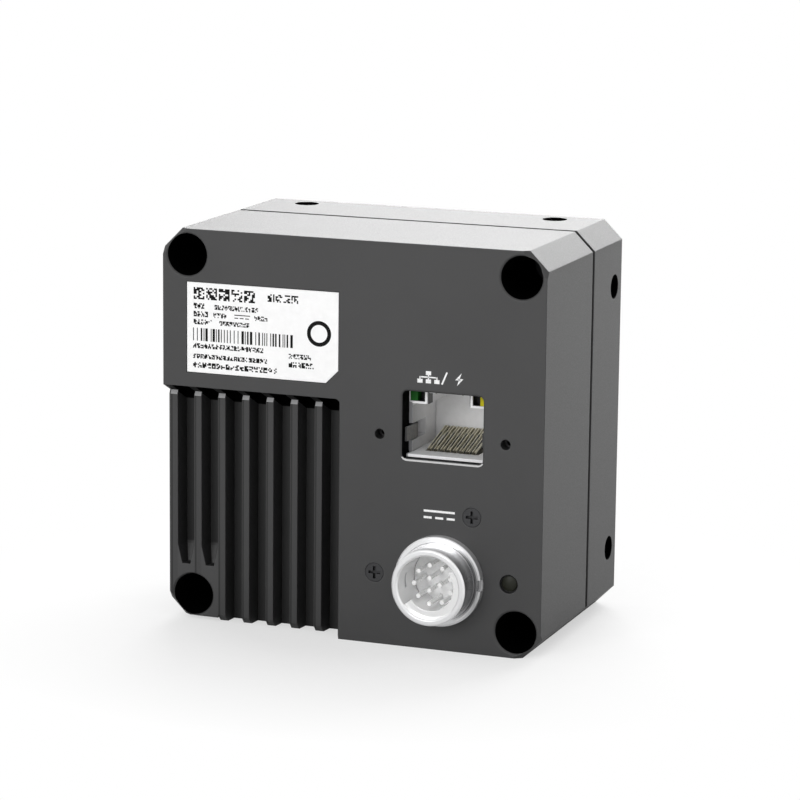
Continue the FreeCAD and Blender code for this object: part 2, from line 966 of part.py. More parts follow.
def make_interface_board():
    board = board_with_holes(cavity_outline(board_edge_gap), interface_board_depth, cover_screw_centres())
    left_part = block(
        -half_width,
        interface_board_left,
        interface_board_depth - past,
        interface_board_back + past,
        -half_height,
        half_height,
    )
    return board.cut(left_part)


def make_processor_chip():
    back = main_board_back + chip_height
    return centred_block(chip_centre_x, chip_centre_z, chip_size, chip_size, main_board_back, back)


def make_thermal_pad():
    front = main_board_back + chip_height
    return centred_block(
        chip_centre_x, chip_centre_z, thermal_boss_size, thermal_boss_size, front, thermal_boss_face
    )


def make_memory_chips():
    back = main_board_back + memory_height
    z = memory_bottom_z + memory_length / 2
    chips = []
    for inset in memory_insets:
        x = -half_width + inset
        chips.append(centred_block(x, z, memory_width, memory_length, main_board_back, back))
    return group(chips)


def board_link(x, depth_near, depth_far):
    """A pair of board connectors plugged together, with a waist where they meet."""
    middle = (depth_near + depth_far) / 2
    wide = centred_block(x, 0, board_link_width, board_link_length, depth_near, middle)
    narrow_width = board_link_width - 2 * board_link_wall
    narrow_length = board_link_length - 2 * board_link_wall
    narrow = centred_block(x, 0, narrow_width, narrow_length, middle, depth_far)
    return wide.fuse(narrow)


def make_board_link_front():
    return board_link(front_link_x, sensor_board_back, main_board_depth)


def make_board_link_rear():
    return board_link(rear_link_x, main_board_back, interface_board_depth)


def make_ethernet_transformer():
    x = port_x - transformer_offset
    z = socket_top_z + transformer_socket_gap + transformer_length / 2
    back = interface_board_back + transformer_height
    return centred_block(x, z, transformer_width, transformer_length, interface_board_back, back)


def make_power_inductor():
    """A moulded coil with cut corners."""
    half = inductor_size / 2
    centre_x = port_x - inductor_offset
    centre_z = socket_bottom_z - inductor_socket_gap - half
    outline = [(centre_x + x, centre_z + z) for x, z in cut_corner_outline(half, half, inductor_corner)]
    return plate(outline, interface_board_back, interface_board_back + inductor_height)


def make_status_led_chip():
    front = interface_board_back
    back = front + led_chip_height
    return centred_block(light_x, light_centre_z, led_chip_width, led_chip_length, front, back)


def make_status_light_pipe():
    """A clear rod from the chip to a domed lens in the rear face."""
    front = interface_board_back + led_chip_height
    lens_face = rear_face - light_lens_sunk
    seat = lens_face - light_lens_height
    lens_radius = light_lens / 2
    shaft = rod(light_rod, front, seat + light_lens_height / 2, light_x, light_centre_z)
    lens = rod(light_lens, seat, lens_face, light_x, light_centre_z)
    ball_radius = (lens_radius ** 2 + light_dome_rise ** 2) / (2 * light_dome_rise)
    ball_depth = lens_face - ball_radius
    ball = Part.makeSphere(ball_radius, place(light_x, ball_depth, light_centre_z))
    return shaft.fuse(lens.common(ball)).removeSplitter()


# Label

def make_nameplate_label():
    back = rear_face - label_recess
    return plate(label_outline(0.0), back, back + label_thickness)


# Network socket

plug_floor_z = socket_centre_z - socket_opening_height / 2 + socket_lip_gap + socket_lip_height
plug_body_top_z = plug_floor_z + plug_body_height
finger_centre_z = socket_centre_z - finger_below_centre
plug_opening_back = interface_board_back + socket_back_wall


def finger_profile(side):
    """The bent strip of one spring finger, as x and depth pairs. It leaves the shield's side wall,
    leans into the plug's way and turns back out towards the opening's edge."""
    wall = port_x + side * (socket_width / 2 - shield_thickness)
    bend = port_x + side * (plug_width / 2 - finger_bend_inset)
    tip = port_x + side * (socket_opening_width / 2 - finger_wall_gap - finger_thickness)
    depths = (
        port_wall_inside - finger_root_depth,
        port_wall_inside - finger_bend_depth,
        port_wall_inside + finger_tip_reach,
    )
    inner = list(zip((wall, bend, tip), depths))
    outer = [(x + side * finger_thickness, depth) for x, depth in inner]
    return inner + outer[::-1]


def make_rj45_shield():
    """Four sheet metal walls round the insert, with a spring finger on each side."""
    half = socket_width / 2
    outside = block(
        port_x - half, port_x + half, interface_board_back, port_wall_inside, socket_bottom_z, socket_top_z
    )
    inside = block(
        port_x - half + shield_thickness,
        port_x + half - shield_thickness,
        interface_board_back - past,
        port_wall_inside + past,
        socket_bottom_z + shield_thickness,
        socket_top_z - shield_thickness,
    )
    shield = outside.cut(inside)
    low = finger_centre_z - finger_height / 2
    high = finger_centre_z + finger_height / 2
    fingers = [bar_along_z(finger_profile(side), low, high) for side in (-1, 1)]
    return shield.fuse(fingers).removeSplitter()


def plug_cavity_outline():
    """The stepped opening for the plug and its latch."""
    half_plug = plug_width / 2
    half_step = latch_step_width / 2
    half_tip = latch_tip_width / 2
    step_top = plug_body_top_z + latch_step_height
    tip_top = step_top + latch_tip_height
    right = [
        (half_plug, plug_floor_z),
        (half_plug, plug_body_top_z),
        (half_step, plug_body_top_z),
        (half_step, step_top),
        (half_tip, step_top),
        (half_tip, tip_top),
    ]
    left = [(-x, z) for x, z in right[::-1]]
    return [(port_x + x, z) for x, z in right + left]


def led_window_sides(side):
    """The inner and outer x of one light window."""
    inner = port_x + side * led_window_inner
    return inner, inner + side * led_window_width


def make_rj45_insert():
    half = socket_width / 2 - shield_thickness
    body = block(
        port_x - half,
        port_x + half,
        interface_board_back,
        port_wall_inside,
        socket_bottom_z + shield_thickness,
        socket_top_z - shield_thickness,
    )
    body = body.cut(plate(plug_cavity_outline(), plug_opening_back, port_wall_inside + past))
    window_low = plug_body_top_z + led_window_rim
    window_high = window_low + led_window_height
    window_floor = port_wall_inside - led_window_depth
    front = port_wall_inside + past
    rim_foot = port_wall_inside - past
    rim_face = port_wall_inside + led_window_rim_height
    additions = []
    cutters = []
    for side in (-1, 1):
        inner, outer = led_window_sides(side)
        rim_inner = inner - side * led_window_rim
        rim_outer = port_x + side * (socket_opening_width / 2 - finger_wall_gap)
        low_x, high_x = sorted((inner, outer))
        cutters.append(block(low_x, high_x, window_floor, front, window_low, window_high))
        low_x, high_x = sorted((rim_inner, rim_outer))
        additions.append(block(low_x, high_x, rim_foot, rim_face, plug_body_top_z, window_low))
        low_x, high_x = sorted((rim_inner, inner))
        additions.append(block(low_x, high_x, rim_foot, rim_face, plug_body_top_z, window_high))
        slot_low = finger_centre_z - finger_height / 2 - finger_slot_gap
        slot_high = finger_centre_z + finger_height / 2 + finger_slot_gap
        plug_side = port_x + side * (plug_width / 2 - past)
        shield_side = port_x + side * (half + past)
        low_x, high_x = sorted((plug_side, shield_side))
        slot_depth = port_wall_inside - finger_root_depth - finger_slot_gap
        cutters.append(block(low_x, high_x, slot_depth, front, slot_low, slot_high))
    lip_half = socket_opening_width / 2 - socket_lip_side_gap
    additions.append(
        block(
            port_x - lip_half,
            port_x + lip_half,
            port_wall_inside - past,
            port_wall_inside + socket_lip_length,
            plug_floor_z - socket_lip_height,
            plug_floor_z,
        )
    )
    return body.fuse(additions).cut(cutters).removeSplitter()


def shifted(point, angle, distance):
    """A pair of values, moved by a distance in the direction of the angle."""
    return (point[0] + distance * math.cos(angle), point[1] + distance * math.sin(angle))


def contact_face(x):
    """The bent outline of one contact in the plane at x. It rises backwards over the floor of the
    plug opening, loops over and comes back down."""
    half = contact_thickness / 2
    quarter_turn = math.radians(90)
    loop_turn = math.radians(contact_loop_turn)
    start = (port_wall_inside - contact_start_inset, plug_floor_z + contact_floor_gap + half)
    top = (plug_opening_back + contact_back_gap, start[1] + contact_rise)
    rise_angle = math.atan2(contact_rise, top[0] - start[0])
    end_angle = rise_angle + loop_turn
    loop_centre = shifted(top, rise_angle + quarter_turn, contact_loop_radius)
    loop_end = shifted(loop_centre, end_angle - quarter_turn, contact_loop_radius)
    end = shifted(loop_end, end_angle, contact_return)
    sides = []
    for offset in (-half, half):
        first = shifted(start, rise_angle - quarter_turn, offset)
        last = shifted(end, end_angle - quarter_turn, offset)
        loop = []
        for share in (0.0, 0.5, 1.0):
            angle = rise_angle - quarter_turn + share * loop_turn
            loop.append(shifted(loop_centre, angle, contact_loop_radius + offset))
        sides.append([place(x, depth, z) for depth, z in [first] + loop + [last]])
    edges = []
    for points in sides:
        edges.append(Part.LineSegment(points[0], points[1]).toShape())
        edges.append(Part.Arc(points[1], points[2], points[3]).toShape())
        edges.append(Part.LineSegment(points[3], points[4]).toShape())
    inner, outer = sides
    edges.append(Part.LineSegment(inner[0], outer[0]).toShape())
    edges.append(Part.LineSegment(inner[4], outer[4]).toShape())
    return Part.Face(Part.Wire(Part.sortEdges(edges)[0]))


def make_rj45_contacts():
    """Eight bent contact strips side by side."""
    strips = []
    for index in range(contact_count):
        centre = port_x + (index - (contact_count - 1) / 2) * contact_pitch
        face = contact_face(centre - contact_width / 2)
        strips.append(face.extrude(Vector(contact_width, 0, 0)))
    return group(strips)


def make_socket_light(side):
    """A light in the outer part of its window, standing a little proud of the insert."""
    inner, outer = led_window_sides(side)
    lens_inner = outer - side * led_lens_width
    low_x, high_x = sorted((lens_inner, outer - side * led_lens_gap))
    window_low = plug_body_top_z + led_window_rim
    return block(
        low_x,
        high_x,
        port_wall_inside - led_window_depth,
        port_wall_inside + led_lens_proud,
        window_low + led_lens_gap,
        window_low + led_window_height - led_lens_gap,
    )


# Power connector

def power_pin_centres():
    centres = []
    outer = (outer_pin_count, outer_pin_circle, 0.5)
    inner = (inner_pin_count, inner_pin_circle, 0.0)
    for count, circle, turn in (outer, inner):
        for index in range(count):
            angle = 2 * math.pi * (index + turn) / count
            x = port_x + circle / 2 * math.cos(angle)
            z = connector_centre_z + circle / 2 * math.sin(angle)
            centres.append((x, z))
    return centres


def power_connector_key_ring():
    """A thicker half of the tube's bore, which lets the plug in one way round only."""
    rim = rear_face + connector_reach
    near = rim - connector_insert_depth
    far = rim - key_ring_from_rim
    outer = connector_bore + 2 * connector_insert_clearance
    ring = tube(outer, connector_bore - 2 * key_ring_thickness, near, far, port_x, connector_centre_z)
    kept_half = block(
        port_x - connector_bore,
        port_x + connector_bore,
        near - past,
        far + past,
        connector_centre_z - connector_bore,
        connector_centre_z,
    )
    kept_half.rotate(place(port_x, 0, connector_centre_z), Vector(0, 1, 0), -key_ring_turn)
    return ring.common(kept_half)


def make_power_connector_shell():
    """A tube that passes through the rear wall, with a flange that bears on the wall's inside."""
    outer = connector_tube / 2
    thread = connector_thread / 2
    bore = connector_bore / 2
    rim = rear_face + connector_reach
    thread_end = rear_face + ring_nut_height + connector_thread_proud
    flange_back = port_wall_inside - connector_gasket_height
    flange_front = flange_back - connector_flange_height
    barrel_front = flange_front - connector_barrel_length
    insert_face = rim - connector_insert_depth
    narrow = bore - connector_insert_step
    shell = turned(
        [
            (outer - connector_rim_bevel, rim),
            (outer, rim - connector_rim_bevel),
            (outer, thread_end),
            (thread, thread_end),
            (thread, flange_back),
            (connector_flange / 2, flange_back),
            (connector_flange / 2, flange_front),
            (outer, flange_front),
            (outer, barrel_front),
            (narrow, barrel_front),
            (narrow, insert_face - past),
            (bore, insert_face - past),
            (bore, rim - connector_rim_bevel),
            (bore + connector_rim_bevel, rim),
        ],
        port_x,
        connector_centre_z,
    )
    keyway = block(
        port_x - bore - keyway_depth,
        port_x,
        rim - keyway_from_rim - keyway_width,
        rim - keyway_from_rim,
        connector_centre_z - keyway_length / 2,
        connector_centre_z + keyway_length / 2,
    )
    return shell.cut(keyway).fuse(power_connector_key_ring()).removeSplitter()


def make_power_connector_insert():
    rim = rear_face + connector_reach
    insert_face = rim - connector_insert_depth
    shoulder = insert_face - past
    wide = connector_bore / 2 - connector_insert_clearance
    narrow = wide - connector_insert_step
    flange_front = port_wall_inside - connector_gasket_height - connector_flange_height
    barrel_front = flange_front - connector_barrel_length
    insert = turned(
        [
            (0, insert_face),
            (wide, insert_face),
            (wide, shoulder),
            (narrow, shoulder),
            (narrow, barrel_front),
            (0, barrel_front),
        ],
        port_x,
        connector_centre_z,
    )
    hole = pin_diameter + 2 * pin_hole_clearance
    cutters = [rod(hole, barrel_front - past, insert_face + past, x, z) for x, z in power_pin_centres()]
    return insert.cut(cutters)


def make_power_connector_pins():
    """Round pins from the interface board through the insert."""
    tip = rear_face + connector_reach - connector_insert_depth + pin_stand
    return group([rod(pin_diameter, interface_board_back, tip, x, z) for x, z in power_pin_centres()])


def make_power_connector_gasket():
    inner = connector_flange - 2 * connector_gasket_band
    front = port_wall_inside - connector_gasket_height
    return tube(connector_flange, inner, front, port_wall_inside, port_x, connector_centre_z)


def make_power_connector_ring_nut():
    """A ring with key slots, tightened against the rear face."""
    outer = ring_nut / 2
    inner = connector_thread / 2 + connector_hole_clearance
    back = rear_face + ring_nut_height
    ring = turned(
        [
            (inner, rear_face),
            (outer, rear_face),
            (outer, back - ring_nut_bevel),
            (outer - ring_nut_bevel, back),
            (inner, back),
        ],
        port_x,
        connector_centre_z,
    )
    cutters = []
    for index in range(ring_nut_slots):
        slot = block(
            port_x + outer - ring_nut_slot_depth,
            port_x + outer + past,
            rear_face + ring_nut_slot_floor,
            back + past,
            connector_centre_z - ring_nut_slot / 2,
            connector_centre_z + ring_nut_slot / 2,
        )
        slot.rotate(place(port_x, 0, connector_centre_z), Vector(0, 1, 0), 360 * index / ring_nut_slots)
        cutters.append(slot)
    return ring.cut(cutters)


pieces["front_housing"] = make_front_housing()
pieces["rear_housing"] = make_rear_housing()
pieces["housing_gasket"] = make_housing_gasket()
pieces["clamp_screws"] = make_clamp_screws()
pieces["cover_screws"] = make_cover_screws()
pieces["filter_glass"] = make_filter_glass()
pieces["filter_retaining_ring"] = make_filter_retaining_ring()
pieces["sensor_package"] = make_sensor_package()
pieces["sensor_die"] = make_sensor_die()
pieces["sensor_cover_glass"] = make_sensor_cover_glass()
pieces["sensor_board"] = make_sensor_board()
pieces["sensor_board_screws"] = make_sensor_board_screws()
pieces["main_board"] = make_main_board()
pieces["processor_chip"] = make_processor_chip()
pieces["memory_chips"] = make_memory_chips()
pieces["thermal_pad"] = make_thermal_pad()
pieces["board_link_front"] = make_board_link_front()
pieces["board_link_rear"] = make_board_link_rear()
pieces["interface_board"] = make_interface_board()
pieces["board_standoffs"] = make_board_standoffs()
pieces["board_spacers"] = make_board_spacers()
pieces["stack_screws"] = make_stack_screws()
pieces["ethernet_transformer"] = make_ethernet_transformer()
pieces["power_inductor"] = make_power_inductor()
pieces["status_led_chip"] = make_status_led_chip()
pieces["status_light_pipe"] = make_status_light_pipe()
pieces["nameplate_label"] = make_nameplate_label()
pieces["rj45_shield"] = make_rj45_shield()
pieces["rj45_insert"] = make_rj45_insert()
pieces["rj45_contacts"] = make_rj45_contacts()
pieces["rj45_led_green"] = make_socket_light(-1)
pieces["rj45_led_yellow"] = make_socket_light(1)
pieces["power_connector_shell"] = make_power_connector_shell()
pieces["power_connector_ring_nut"] = make_power_connector_ring_nut()
pieces["power_connector_gasket"] = make_power_connector_gasket()
pieces["power_connector_insert"] = make_power_connector_insert()
pieces["power_connector_pins"] = make_power_connector_pins()

os.makedirs("parts", exist_ok=True)
for name, shape in pieces.items():
    shape.exportStep("parts/" + name + ".step")
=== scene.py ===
import math
import random

import bmesh
import bpy
from mathutils import Matrix, Vector


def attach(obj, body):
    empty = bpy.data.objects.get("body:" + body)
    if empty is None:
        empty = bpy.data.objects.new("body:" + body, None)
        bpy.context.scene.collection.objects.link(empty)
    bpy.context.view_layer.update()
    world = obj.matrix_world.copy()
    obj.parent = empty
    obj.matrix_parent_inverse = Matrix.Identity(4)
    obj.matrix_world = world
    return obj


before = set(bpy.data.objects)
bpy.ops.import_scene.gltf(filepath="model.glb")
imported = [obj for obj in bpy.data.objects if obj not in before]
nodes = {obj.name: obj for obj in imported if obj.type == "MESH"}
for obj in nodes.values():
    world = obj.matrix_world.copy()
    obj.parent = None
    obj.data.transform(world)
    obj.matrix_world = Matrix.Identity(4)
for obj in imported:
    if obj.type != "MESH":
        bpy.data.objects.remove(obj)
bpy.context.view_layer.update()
scene = bpy.context.scene

MM = 0.001

# Sizes and places on the part, and of the shades painted on it, in millimetres
HALF_WIDTH = 31.0
BASE_Z = -31.0
REAR_FACE = -37.5
LABEL_FACE = -37.4
PORT_WALL_INSIDE = -34.5

CORNER_SCREW = 27.0
CORNER_BORE_RADIUS = 3.25
SIDE_HOLE_OFFSET = 21.0
SIDE_HOLE_Y = -4.0
SIDE_HOLE_RADIUS = 1.9
SIDE_HOLE_BOTTOM = 26.0

MOUNT_RADIUS = 20.5
THREAD_PITCH = 1.0
THREAD_START = -0.95
THREAD_TURNS = 3.5
THREAD_HEIGHT = 0.3
THREAD_FOOT_SUNK = 0.03
THREAD_FOOT_HALF_WIDTH = 0.42
THREAD_CREST_HALF_WIDTH = 0.06
THREAD_STEPS = 96
THREAD_TAPER_STEPS = 24

PAD_FACE = -35.3
GROOVE_FLOOR = -32.3
GROOVE_START = -29.6
GROOVE_WIDTH = 2.811
RIB_PITCH = 4.0314
RIB_ZONE_TOP = 6.5
RIB_ZONE_RIGHT = -2.6
RIB_FACE_TOP = 4.7
RIB_NOTCH_TOP = 5.3
RIB_LEFT_PART = 0.42
LABEL_SHADE_SHORT = 1.3
LABEL_SHADE_LONG = 2.9

PORT_X = 14.9
LOCK_HOLE_OFFSET = 10.05
LOCK_HOLE_Z = 1.7
LOCK_SHADE_RADIUS = 0.5
SOCKET_HALF_WIDTH = 6.45
SOCKET_BOTTOM_Z = -1.85
SOCKET_TOP_Z = 8.65
PLUG_HALF_WIDTH = 5.85
LATCH_STEP_HALF_WIDTH = 3.25
LATCH_TIP_HALF_WIDTH = 2.05
LIGHT_WINDOW_INNER = 3.8
LIGHT_WINDOW_OUTER = 6.2
LIGHT_WINDOW_BOTTOM_Z = 6.65
COMB_HALF_WIDTH = 4.3
COMB_TOP_Z = 0.9
COMB_FRONT_DEPTH = 1.25
LEFT_WALL_SHADE_TOP_Z = 5.9
LEFT_WALL_SHADE_DEPTH = 5.5
LATCH_STEP_SHADE_FROM_Z = 5.95
LATCH_STEP_SHADE_DEPTH = 1.6
LATCH_TIP_SHADE_FROM_Z = 7.62
LATCH_TIP_SHADE_DEPTH = 2.0
LATCH_SHADE_WIDTH = 0.19
SHIELD_WALL_FROM = 7.3
SHIELD_TIP_DARK_DEPTH = 0.9
SHIELD_TIP_DEPTH = 1.1
CONTACT_PITCH = 1.02
CONTACT_SLIT_LOW = -0.5
CONTACT_SLIT_HIGH = 0.75
CONTACT_CORE = 0.13
CONTACT_BORDER = 0.18
CONTACT_DARK_DEPTH = 1.16

CONNECTOR_Z = -20.0
CONNECTOR_RIM = -43.1
TUBE_BORE_RADIUS = 4.85
TUBE_SHADE_INNER = 5.6
TUBE_SHADE_OUTER = 6.4
TUBE_SHADE_FROM = 2.5
TUBE_SHADE_FULL = 5.4
RING_SHADE_FROM = 4.0

# How far a shade's limit lies beside the edge or face that it follows
GROOVE_MARGIN = 0.06
FACE_MARGIN = 0.03


# Camera

CAMERA_PLACE = (181.87, -496.20, 104.65)
CAMERA_AZIMUTH = 20.75
CAMERA_ELEVATION = 11.24
CAMERA_ROLL = 0.62
CAMERA_LENS = 149.8


def camera_axes(azimuth, elevation, roll):
    """The camera's right, up and back directions."""
    a, e, r = (math.radians(angle) for angle in (azimuth, elevation, roll))
    back = Vector((math.sin(a) * math.cos(e), -math.cos(a) * math.cos(e), math.sin(e)))
    right = Vector((math.cos(a), math.sin(a), 0.0))
    up = back.cross(right)
    turned_right = right * math.cos(r) + up * math.sin(r)
    turned_up = up * math.cos(r) - right * math.sin(r)
    return turned_right, turned_up, back


def add_camera():
    data = bpy.data.cameras.new("camera")
    data.sensor_width = 36.0
    data.lens = CAMERA_LENS
    data.clip_start = 0.01
    data.clip_end = 20.0
    camera = bpy.data.objects.new("camera", data)
    right, up, back = camera_axes(CAMERA_AZIMUTH, CAMERA_ELEVATION, CAMERA_ROLL)
    turn = Matrix((right, up, back)).transposed().to_4x4()
    camera.matrix_world = Matrix.Translation(Vector(CAMERA_PLACE) * MM) @ turn
    scene.collection.objects.link(camera)
    scene.camera = camera


add_camera()


# Node materials

def tone(colour, factor):
    """A colour made darker or lighter, and no lighter than white."""
    return tuple(min(1.0, part * factor) for part in colour)


def grey(value):
    return (value, value, value)


class Shader:
    """Builds one material's node tree."""

    def __init__(self, name):
        self.material = bpy.data.materials.new(name)
        self.material.use_nodes = True
        self.tree = self.material.node_tree
        self.tree.nodes.clear()
        self.output = self.tree.nodes.new("ShaderNodeOutputMaterial")
        self.place = None

    def node(self, kind, **settings):
        made = self.tree.nodes.new("ShaderNode" + kind)
        for key, value in settings.items():
            setattr(made, key, value)
        return made

    def feed(self, socket, value):
        if isinstance(value, bpy.types.NodeSocket):
            self.tree.links.new(value, socket)
        else:
            socket.default_value = value

    def feed_colour(self, socket, colour):
        if not isinstance(colour, bpy.types.NodeSocket):
            colour = tuple(colour) + (1.0,)
        self.feed(socket, colour)

    def math(self, operation, first, second=0.0, clamp=False):
        made = self.node("Math", operation=operation, use_clamp=clamp)
        self.feed(made.inputs[0], first)
        self.feed(made.inputs[1], second)
        return made.outputs[0]

    def position(self):
        if self.place is None:
            self.place = self.node("TexCoord").outputs["Object"]
        return self.place

    def axes(self):
        """The object's own x, y and z."""
        split = self.node("SeparateXYZ")
        self.feed(split.inputs[0], self.position())
        return split.outputs[0], split.outputs[1], split.outputs[2]

    def noise(self, scale, detail, roughness=0.5):
        made = self.node("TexNoise")
        made.inputs["Scale"].default_value = scale
        made.inputs["Detail"].default_value = detail
        made.inputs["Roughness"].default_value = roughness
        self.feed(made.inputs["Vector"], self.position())
        return made.outputs[0]

    def level(self, value, low, high, to_low=0.0, to_high=1.0):
        """A value between two limits, mapped to another pair and held there beyond them."""
        made = self.node("MapRange")
        made.clamp = True
        self.feed(made.inputs["Value"], value)
        made.inputs["From Min"].default_value = low
        made.inputs["From Max"].default_value = high
        made.inputs["To Min"].default_value = to_low
        made.inputs["To Max"].default_value = to_high
        return made.outputs[0]

    def mix(self, share, first, second):
        made = self.node("Mix", data_type="RGBA")
        self.feed(made.inputs[0], share)
        self.feed_colour(made.inputs[6], first)
        self.feed_colour(made.inputs[7], second)
        return made.outputs[2]

    def distance(self, first, second, at_first, at_second):
        """The distance in a plane between two coordinates and a fixed place."""
        a = self.math("SUBTRACT", first, at_first)
        b = self.math("SUBTRACT", second, at_second)
        squares = self.math("ADD", self.math("MULTIPLY", a, a), self.math("MULTIPLY", b, b))
        return self.math("SQRT", squares)

    def rounded(self, radius):
        """The normal with sharp edges rounded off."""
        bevel = self.node("Bevel", samples=4)
        bevel.inputs["Radius"].default_value = radius
        return bevel.outputs[0]

    def edges(self, radius):
        """The rounded normal, and how near a sharp edge a point is, from 0 on a flat to 1 on it."""
        normal = self.rounded(radius)
        geometry = self.node("NewGeometry")
        dot = self.node("VectorMath", operation="DOT_PRODUCT")
        self.feed(dot.inputs[0], normal)
        self.feed(dot.inputs[1], geometry.outputs["Normal"])
        return normal, self.level(dot.outputs["Value"], 0.995, 0.8)

    def within(self, value, low, high):
        """1 where a value lies between two limits, and 0 elsewhere."""
        above = self.math("GREATER_THAN", value, low)
        return self.math("MULTIPLY", above, self.math("LESS_THAN", value, high))

    def all_of(self, *shares):
        """Where every share applies."""
        made = shares[0]
        for share in shares[1:]:
            made = self.math("MULTIPLY", made, share)
        return made

    def hollow(self, distance, low, high):
        """How closed in a point is, from 0 in the open to 1 in a corner."""
        near = self.node("AmbientOcclusion", samples=8, only_local=True)
        near.inputs["Distance"].default_value = distance
        return self.level(near.outputs["AO"], low, high, 1.0, 0.0)

    def bump(self, height, distance, normal, strength):
        made = self.node("Bump")
        made.inputs["Strength"].default_value = strength
        made.inputs["Distance"].default_value = distance
        self.feed(made.inputs["Height"], height)
        self.feed(made.inputs["Normal"], normal)
        return made.outputs[0]

    def surface(self, colour, roughness, metallic=0.0, normal=None, **others):
        """Finish the material with one surface. The others are its sockets' names and values."""
        shader = self.node("BsdfPrincipled")
        self.feed_colour(shader.inputs["Base Color"], colour)
        self.feed(shader.inputs["Roughness"], roughness)
        self.feed(shader.inputs["Metallic"], metallic)
        if normal is not None:
            self.feed(shader.inputs["Normal"], normal)
        for key, value in others.items():
            self.feed(shader.inputs[key.replace("_", " ")], value)
        self.feed(self.output.inputs["Surface"], shader.outputs[0])
        return self.material


def paint(name, colour, hole_masks, details=None):
    """Fine matt coating on milled metal, with painted shade on its two sides and painted black shade
    inside the screw holes.
    """
    s = Shader(name)
    normal, edge = s.edges(0.25 * MM)
    grain = s.noise(5200.0, 2.0, 0.6)
    drift = s.noise(70.0, 3.0, 0.55)
    shade = s.mix(s.level(drift, 0.35, 0.65), tone(colour, 0.96), tone(colour, 1.05))
    shade = s.mix(s.math("MULTIPLY", s.level(grain, 0.55, 0.8), 0.35), shade, tone(colour, 1.5))
    # Lighter along sharp edges: partly a thinner coat, partly a painted highlight
    shade = s.mix(s.math("MULTIPLY", edge, 0.30), shade, tone(colour, 3.0))
    x, y, z = s.axes()
    ax = s.math("ABSOLUTE", x)
    az = s.math("ABSOLUTE", z)
    inside = None
    for mask in hole_masks:
        made = mask(s, x, y, z, ax, az)
        inside = made if inside is None else s.math("MAXIMUM", inside, made)
    # Painted shade: the two sides at plus and minus x are half as bright
    side = s.math("GREATER_THAN", ax, (HALF_WIDTH - 0.05) * MM)
    shade = s.mix(side, shade, tone(colour, 0.5))
    if details is not None:
        shade, black = details(s, x, y, z, shade, colour)
        inside = s.math("MAXIMUM", inside, black)
    # Painted shade: black inside the holes and wherever the details paint black shade
    shade = s.mix(inside, shade, grey(0.002))
    rough = s.level(grain, 0.3, 0.7, 0.42, 0.54)
    rough = s.math("ADD", rough, s.math("MULTIPLY", inside, 0.4), clamp=True)
    bumped = s.bump(grain, 0.02 * MM, normal, 0.5)
    return s.surface(shade, rough, inside, bumped, Specular_IOR_Level=0.42)


# Each hole mask marks where black shade is painted inside a hole
def corner_hole_mask(s, x, y, z, ax, az):
    near = s.distance(ax, az, CORNER_SCREW * MM, CORNER_SCREW * MM)
    return s.math("LESS_THAN", near, (CORNER_BORE_RADIUS + 0.02) * MM)


def side_hole_mask(s, x, y, z, ax, az):
    """The holes in the top and base, and those in the two sides, where black shade is painted."""
    masks = []
    for along, depth in ((ax, az), (az, ax)):
        near = s.distance(along, y, SIDE_HOLE_OFFSET * MM, SIDE_HOLE_Y * MM)
        near = s.math("LESS_THAN", near, (SIDE_HOLE_RADIUS + FACE_MARGIN) * MM)
        masks.append(s.all_of(near, s.math("GREATER_THAN", depth, (SIDE_HOLE_BOTTOM - 0.5) * MM)))
    return s.math("MAXIMUM", *masks)


# Painted shade: black a little inside the rim of each lock hole
def lock_hole_mask(s, x, y, z, ax, az):
    offset = s.math("ABSOLUTE", s.math("SUBTRACT", x, PORT_X * MM))
    near = s.distance(offset, z, LOCK_HOLE_OFFSET * MM, LOCK_HOLE_Z * MM)
    return s.math("LESS_THAN", near, LOCK_SHADE_RADIUS * MM)


def rear_details(s, x, y, z, shade, colour):
    """The ribs with painted shade in their grooves, and at the network socket's opening painted black
    shade on its left wall and a painted highlight on its lower bevel.
    """
    shade, black = rib_details(s, x, y, z, shade, colour)
    across = s.math("SUBTRACT", x, PORT_X * MM)
    # Painted shade: black on the left wall of the socket's opening
    left_wall = s.all_of(
        s.within(across, (-SOCKET_HALF_WIDTH - 0.2) * MM, (-SOCKET_HALF_WIDTH + 0.5) * MM),
        s.within(y, (REAR_FACE + 0.2) * MM, (PORT_WALL_INSIDE + 0.1) * MM),
        s.within(z, (SOCKET_BOTTOM_Z + 0.1) * MM, (SOCKET_TOP_Z + 0.15) * MM),
    )
    black = s.math("MAXIMUM", black, left_wall)
    # Painted highlight: a light line on the lower bevel of the socket's opening
    bevel = s.all_of(
        s.within(z, (SOCKET_BOTTOM_Z - 0.27) * MM, (SOCKET_BOTTOM_Z + 0.3) * MM),
        s.within(y, (REAR_FACE + 0.02) * MM, (REAR_FACE + 0.3) * MM),
        s.within(across, (-SOCKET_HALF_WIDTH - 0.1) * MM, (SOCKET_HALF_WIDTH + 0.1) * MM),
    )
    return s.mix(bevel, shade, grey(0.72)), black


